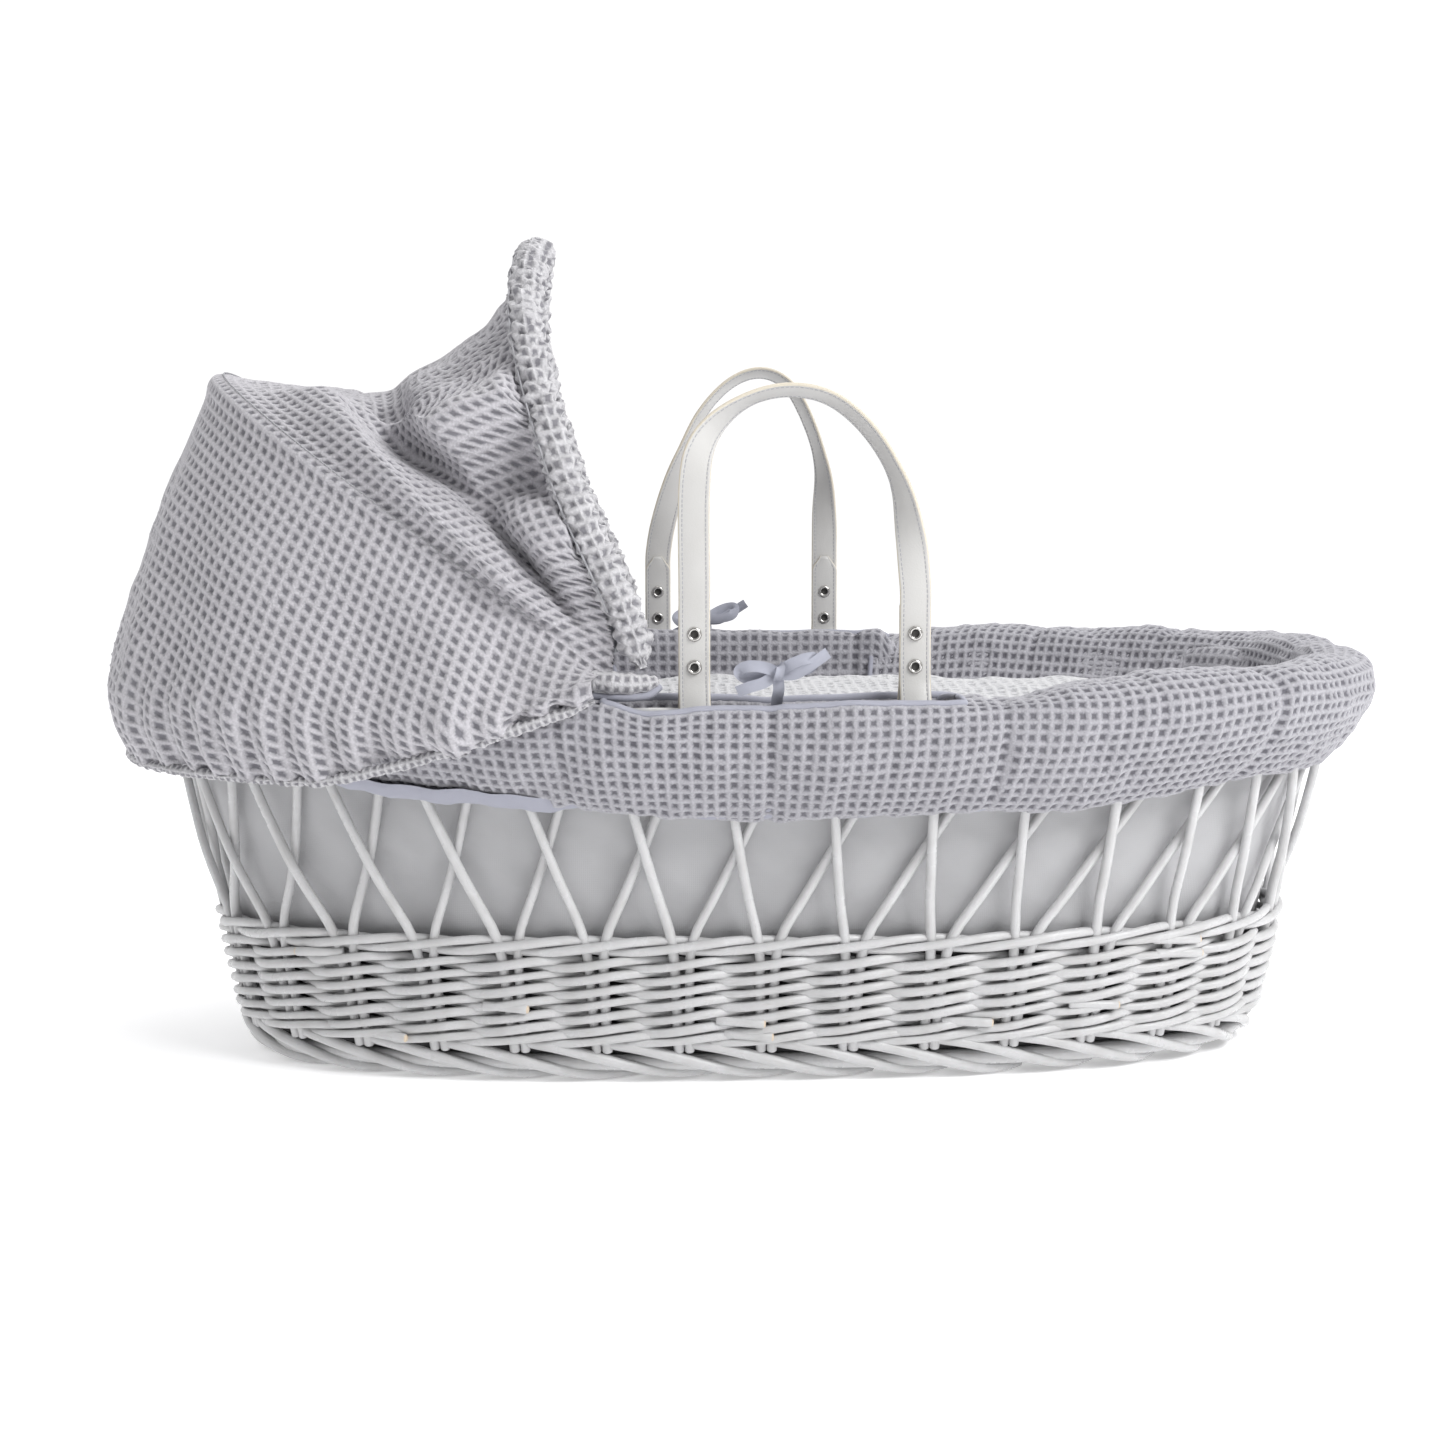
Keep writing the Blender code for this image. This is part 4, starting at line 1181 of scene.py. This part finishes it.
# the plain back of the cloth, just inside the panels
def makeRearPanelBack():
    turns, _ = evenTurns(0.20, math.pi - 0.20, hood["rearAngle"], hood["rearLength"], 120)
    shares = headShares(120)
    x = wallPoint(shares, 0.030, 0.25)[:, 0]
    top = hoodPoint(hood["rearAngle"] - 1.5, hood["rearLength"] - 0.010, turns, clothHalf - 0.012)
    low = wallPoint(shares, 0.0255, np.maximum(hemHeight(x) + 0.006, 0.247))
    rows = [top * (1 - t) + low * t for t in np.linspace(0, 1, 30)]
    points = np.stack(rows, 1)[14:-14]
    points = points + gridNormals(points) * (ripple(points, 121, 0.12, 0.03) * 0.0012)[..., None]
    rear = gridMesh("rear_panel_back", points, looks["backing"], flip=True)
    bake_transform(rear)


# a row of short stitches along a line
def stitchRow(name, line, count, radius=0.0006):
    walked = np.concatenate([[0], np.cumsum(np.linalg.norm(np.diff(line, axis=0), axis=1))])
    paths = []
    for i in range(count):
        marks = (i + np.linspace(0.15, 0.85, 4)) / count * walked[-1]
        paths.append(np.stack([np.interp(marks, walked, line[:, a]) for a in range(3)], -1))
    return sweep(name, paths, [radius] * count, looks["thread"], 5)


def makeRearSeam():
    turns, length = evenTurns(0.16, math.pi - 0.16, hood["rearAngle"], hood["rearLength"], 400)
    line = hoodPoint(hood["rearAngle"] + 1.25, hood["rearLength"] + 0.0002, turns, clothHalf - 0.0012)
    obj = stitchRow("rear_seam_stitches", line, int(length / 0.0040))
    place(obj, "hood_rear", "waffle")


# the bunched cloth at both lower corners, and the tape that ends there
def makeHoodCorners():
    bunches = []
    tapes = []
    for side in (-1, 1):
        y = side * (clothHalf + 0.0015)
        line = splineThrough([(-0.128, y, 0.2755), (-0.112, y * 1.012, 0.2745), (-0.096, y * 1.016, 0.2728),
                              (-0.082, y * 1.006, 0.2725), (-0.0735, y * 0.992, 0.2738)], 8)
        bunches.append(line)
        tapes.append(splineThrough([(-0.116, y * 1.01, 0.2655), (-0.098, y * 1.025, 0.2640),
                                    (-0.080, y * 1.02, 0.2650), (-0.0715, y * 0.99, 0.2700)], 6))
    radii = []
    for line in bunches:
        t = np.linspace(0, 1, len(line))
        radii.append(0.0028 + 0.0044 * np.sin(np.pi * t ** 0.9) ** 0.8 + 0.0005 * np.sin(t * 34))
    obj = sweep("hood_corners", bunches, radii, looks["gather"], 18)
    inCells = obj.data.uv_layers[0].data
    places = np.empty(len(inCells) * 2, np.float32)
    inCells.foreach_get("uv", places)
    places[0::2] /= waffle["cell"] * 0.7
    places[1::2] *= 6
    inCells.foreach_set("uv", places)
    place(obj, "root", "waffle")
    tape = sweep("hood_corner_tape", tapes, [0.0024] * 2, looks["binding"], 9)
    place(tape, "root", "binding")


makeRearPanel()
makeMiddlePanel()
makeFrontHem()
makeElasticHem()
makeRearPanelBack()
makeRearSeam()
makeHoodCorners()
print("hood made")


# handles
handle = {
    "width": 0.0200,
    "thick": 0.0024,
    "layer": 0.0014,        # half the gap between the two layers' middles
    "loop": 0.0111,         # radius of the turn round the border
    "tabTop": 0.331,
    "rivets": [0.282, 0.303],
    "twist": 68.0,          # how far the strap turns edge on over the top, in degrees
    "nearFeet": [-0.0495, 0.0905],
    "farFeet": [-0.0610, 0.0720],
    "nearX": [-0.0495, -0.0495, -0.045, -0.030, -0.008, 0.016, 0.040, 0.063, 0.079, 0.087, 0.090],
    "nearZ": [0.335, 0.395, 0.422, 0.441, 0.453, 0.456, 0.449, 0.428, 0.400, 0.365, 0.335],
    "farX": [-0.0605, -0.0578, -0.0505, -0.041, -0.026, -0.003, 0.022, 0.044, 0.060, 0.070, 0.072, 0.072],
    "farZ": [0.335, 0.352, 0.380, 0.410, 0.443, 0.468, 0.476, 0.465, 0.435, 0.400, 0.365, 0.335],
}
axisHeight = wall["rimHeight"]


# the strap's tab, its turn round the border, and the start of the leg
def endLoop(x, y, side):
    places = [(-handle["layer"], z) for z in np.linspace(handle["tabTop"], 0.273, 9)]
    places.append((-handle["loop"], axisHeight + 0.004))
    for degrees in range(200, 341, 14):
        angle = math.radians(degrees)
        places.append((handle["loop"] * math.cos(angle), axisHeight + handle["loop"] * math.sin(angle)))
    places.append((handle["loop"], axisHeight + 0.004))
    places += [(handle["layer"], z) for z in np.linspace(0.273, 0.332, 9)]
    return np.array([(x, y + side * out, z) for out, z in places])


def makeHandle(side, feet, routeX, routeZ, body):
    y = side * hoopHalf
    first, last = endLoop(feet[0], y, side), endLoop(feet[1], y, side)[::-1]
    route = splineThrough(np.stack([routeX, np.full(len(routeX), y + side * handle["layer"]), routeZ], -1), 8)
    across = np.tile([1.0, 0, 0], (len(first), 1))
    along = np.gradient(route, axis=0)
    along /= np.linalg.norm(along, axis=1, keepdims=True)
    flat = np.stack([along[:, 2], np.zeros(len(along)), -along[:, 0]], -1)
    part = np.linspace(0, 1, len(route))
    twist = np.radians(handle["twist"]) * ramp(part, 0.05, 0.40) * (1 - ramp(part, 0.76, 1.0))
    middle = flat * np.cos(twist)[:, None] + np.array([0, 1.0, 0]) * np.sin(twist)[:, None]
    centres = np.concatenate([first, route, last])
    widths = np.concatenate([across, middle, -across])
    # even steps, with the frames carried along
    walked = np.concatenate([[0], np.cumsum(np.linalg.norm(np.diff(centres, axis=0), axis=1))])
    marks = np.linspace(0, walked[-1], 340)
    centres = np.stack([np.interp(marks, walked, centres[:, a]) for a in range(3)], -1)
    widths = np.stack([np.interp(marks, walked, widths[:, a]) for a in range(3)], -1)
    centres = smoothLines(centres[None], 6)[0]
    along = np.gradient(centres, axis=0)
    along /= np.linalg.norm(along, axis=1, keepdims=True)
    widths -= along * (widths * along).sum(1, keepdims=True)
    widths /= np.linalg.norm(widths, axis=1, keepdims=True)
    normals = np.cross(along, widths)
    end = np.minimum(marks, walked[-1] - marks)
    point = np.clip(0.30 + end / 0.0095 * 0.70, 0.0, 1.0)
    half, thick = handle["width"] / 2, handle["thick"] / 2
    # rounded edges and a groove for each row of stitches; the back is the face turned over
    face = [(-1, 0), (-0.985, 0.55), (-0.93, 0.95), (-0.80, 1.0), (-0.74, 0.86), (-0.68, 1.0), (0, 1.04),
            (0.68, 1.0), (0.74, 0.86), (0.80, 1.0), (0.93, 0.95), (0.985, 0.55)]
    section = face + [(-w, -t) for w, t in face] + face[:1]
    wander = ripple(centres, 130 + side, 0.12, 0.04) * 0.0006
    rows = [centres + widths * (half * w * point)[:, None] + normals * (thick * t + wander)[:, None]
            for w, t in section]
    points = np.stack(rows, 1)
    middles = points.mean(1, keepdims=True).repeat(len(section), 1)
    points = np.concatenate([middles[:1], points, middles[-1:]])
    name = "near" if side < 0 else "far"
    strap = gridMesh(name + "_strap", points, looks["leather"])
    strap.data.materials.append(looks["edge"])
    onEdge = np.isin(np.arange(len(section) - 1), (0, 1, 10, 11, 12, 13, 22, 23))
    edgeFaces = np.tile(onEdge, len(points) - 1).astype(np.int32)
    if len(edgeFaces) == len(strap.data.polygons):
        strap.data.polygons.foreach_set("material_index", edgeFaces)
    place(strap, body, "leather", [name + "_handle"])
    paths = []
    count = int(walked[-1] / 0.0030)
    for edge in (-0.74, 0.74):
        for face in (-1, 1):
            line = centres + widths * (half * edge * np.minimum(point, 1))[:, None]
            line = line + normals * (thick * 0.90 * face + wander)[:, None]
            for i in range(2, count - 2):
                span = (i + np.linspace(0.18, 0.82, 4)) / count * walked[-1]
                paths.append(np.stack([np.interp(span, marks, line[:, a]) for a in range(3)], -1))
    stitches = sweep(name + "_strap_stitches", paths, [0.00042] * len(paths), looks["thread"], 4,
                     capped=False)
    place(stitches, body, "leather")
    makeRivets(name, y, feet, body)


# tubular rivets: a rolled rim round a small hollow, on both faces of the strap; the hollow is a flat disc in
# painted shade
def makeRivets(name, y, feet, body):
    seat = handle["layer"] + handle["thick"] / 2
    profile = [(0.0, 0.0001), (0.0021, 0.0001), (0.0025, 0.0008), (0.0030, 0.0014), (0.0038, 0.0014),
               (0.0044, 0.0009), (0.00475, 0.0001), (0.0046, -0.0004)]
    around = 28
    angle = np.arange(around) * math.tau / around
    number = 0
    for x in feet:
        for z in handle["rivets"]:
            number += 1
            parts = []
            for face in (-1, 1):
                r = np.array([p[0] for p in profile])
                h = np.array([p[1] for p in profile])
                ring = np.stack([x + np.outer(np.cos(angle), r), np.full((around, len(r)), 0.0),
                                 z + np.outer(np.sin(angle), r) * face], -1)
                ring[:, :, 1] = y + face * (seat + h)[None]
                parts.append(ring)
            quads = gridQuads(around, len(profile), True)
            size = around * len(profile)
            allPoints = np.concatenate([p.reshape(-1, 3) for p in parts])
            allQuads = np.concatenate([quads, quads + size])
            obj = buildMesh(f"{name}_rivet_head_{number}", allPoints, allQuads, looks["nickel"])
            obj.data.materials.append(looks["shade"])
            # the two innermost rings of each face take painted shade where the rivet's hole is
            inner = np.tile(np.arange(len(profile) - 1) < 2, around)
            inner = np.concatenate([inner, inner]).astype(np.int32)
            if len(inner) == len(obj.data.polygons):
                obj.data.polygons.foreach_set("material_index", inner)
            place(obj, body, "nickel", [f"{name}_rivet_{number}"])


makeHandle(-1, handle["nearFeet"], handle["nearX"], handle["nearZ"], "near_handle")
makeHandle(1, handle["farFeet"], handle["farX"], handle["farZ"], "far_handle")
print("handles made")


# ribbon ties
tie = {"width": 0.0072, "out": 0.0150, "scale": 0.88}


# a flat ribbon along a line, with a little curl across it
def ribbonStrip(line, facing, width, curl):
    line = splineThrough(line, 8)
    along = np.gradient(line, axis=0)
    along /= np.linalg.norm(along, axis=1, keepdims=True)
    across = np.cross(along, np.asarray(facing, float))
    across /= np.maximum(np.linalg.norm(across, axis=1, keepdims=True), 1e-9)
    normal = np.cross(across, along)
    v = np.linspace(-1, 1, 7)
    sideways = across[:, None] * (v * width / 2)[None, :, None]
    return line[:, None] + sideways + normal[:, None] * (curl * v ** 2)[None, :, None]


def makeBow(name, node, side, x, z):
    y = side * (hoopHalf + tie["out"])
    w = tie["width"]

    def at(dx, dz, dy=0.0):
        return (x + dx * tie["scale"], y + side * dy, z + dz * tie["scale"])

    strips = [
        [at(0, 0), at(-0.010, 0.004, 0.004), at(-0.021, 0.005, 0.005), at(-0.0275, 0.001, 0.002),
         at(-0.022, -0.004, -0.001), at(-0.010, -0.003, -0.001), at(0, 0)],
        [at(0, 0), at(0.009, 0.006, 0.004), at(0.019, 0.010, 0.005), at(0.026, 0.010, 0.002),
         at(0.023, 0.003, -0.001), at(0.010, 0.000, -0.001), at(0, 0)],
        [at(0, -0.001), at(0.012, -0.001, 0.003), at(0.024, 0.006, 0.004), at(0.036, 0.014, 0.001)],
        [at(0, -0.001), at(-0.010, -0.007, 0.003), at(-0.020, -0.010, 0.004), at(-0.029, -0.0135, 0.003)],
        [at(0.001, 0.0055, 0.001), at(0.002, 0.004, 0.0050), at(0.001, -0.001, 0.0062),
         at(0.0, -0.0048, 0.004), at(0.0, -0.006, 0.000)],
        [at(0, -0.003, 0.001), at(0.001, -0.012, 0.000), at(0.0, -0.020, -0.004), at(0.0, -0.027, -0.009)],
    ]
    parts = [ribbonStrip(s, (0, side, 0), w * (0.75 if i == 4 else 1), 0.0008) for i, s in enumerate(strips)]
    points, quads, base = [], [], 0
    for part in parts:
        points.append(part.reshape(-1, 3))
        quads.append(gridQuads(*part.shape[:2]) + base)
        base += part.shape[0] * part.shape[1]
    obj = buildMesh(name, np.concatenate(points), np.concatenate(quads), looks["ribbon"])
    place(obj, "root", "binding", [node])


makeBow("near_bow", "near_tie_bow", -1, 0.002, 0.280)
makeBow("far_bow", "far_tie_bow", 1, -0.0215, 0.280)
print("bows made")

# the hood's wires and pins keep the CAD's own shape
for node in ("rear_hoop", "front_hoop", "near_hood_pin", "far_hood_pin"):
    for slot in frame["nodes"][node].material_slots:
        slot.material = looks["steel"]

# floor and light
studio = {
    "floor": tone(250, 250, 251),
    "floorSize": 9.0,
    "glow": 0.33,
    "key": 54.0,
    "fill": 1.0,
    "top": 13.0,
    "behind": 1.04,         # the sky's strength beyond the basket and before it
    "before": 0.30,
}


def makeFloor():
    size = studio["floorSize"]
    points = np.array([[[x, y, -0.0006] for y in (-4.0, 5.0)] for x in (-size, size)])
    finish, _, _, shader = newFinish("floor", studio["floor"], 0.9)
    shader.inputs["Emission Color"].default_value = (1, 1, 1, 1)
    shader.inputs["Emission Strength"].default_value = studio["glow"]
    gridMesh("floor", points, finish)


def addLamp(name, spot, aim, size, power):
    data = bpy.data.lights.new(name, "AREA")
    data.energy = power
    data.size = size
    lamp = bpy.data.objects.new(name, data)
    lamp.location = spot
    lamp.rotation_euler = (Vector(aim) - Vector(spot)).to_track_quat("-Z", "Y").to_euler()
    bpy.context.scene.collection.objects.link(lamp)


def makeSky():
    world = bpy.data.worlds.new("sky")
    world.use_nodes = True
    nodes, links = world.node_tree.nodes, world.node_tree.links
    back = nodes["Background"]
    way = nodes.new("ShaderNodeSeparateXYZ")
    links.new(nodes.new("ShaderNodeTexCoord").outputs["Generated"], way.inputs["Vector"])
    back.inputs["Color"].default_value = (1, 1, 1, 1)
    light = addRange(nodes, links, way.outputs["Y"], -0.6, 0.3, studio["before"], studio["behind"])
    links.new(light, back.inputs["Strength"])
    bpy.context.scene.world = world


makeFloor()
addLamp("key lamp", (1.5, -1.6, 1.9), (0, 0, 0.2), 1.2, studio["key"])
addLamp("fill lamp", (-1.9, -1.5, 1.0), (0, 0, 0.2), 1.6, studio["fill"])
addLamp("top lamp", (0.2, 0.6, 2.4), (0, 0, 0.2), 1.8, studio["top"])
makeSky()
bpy.context.scene.view_settings.view_transform = "Standard"
print("floor and light made")
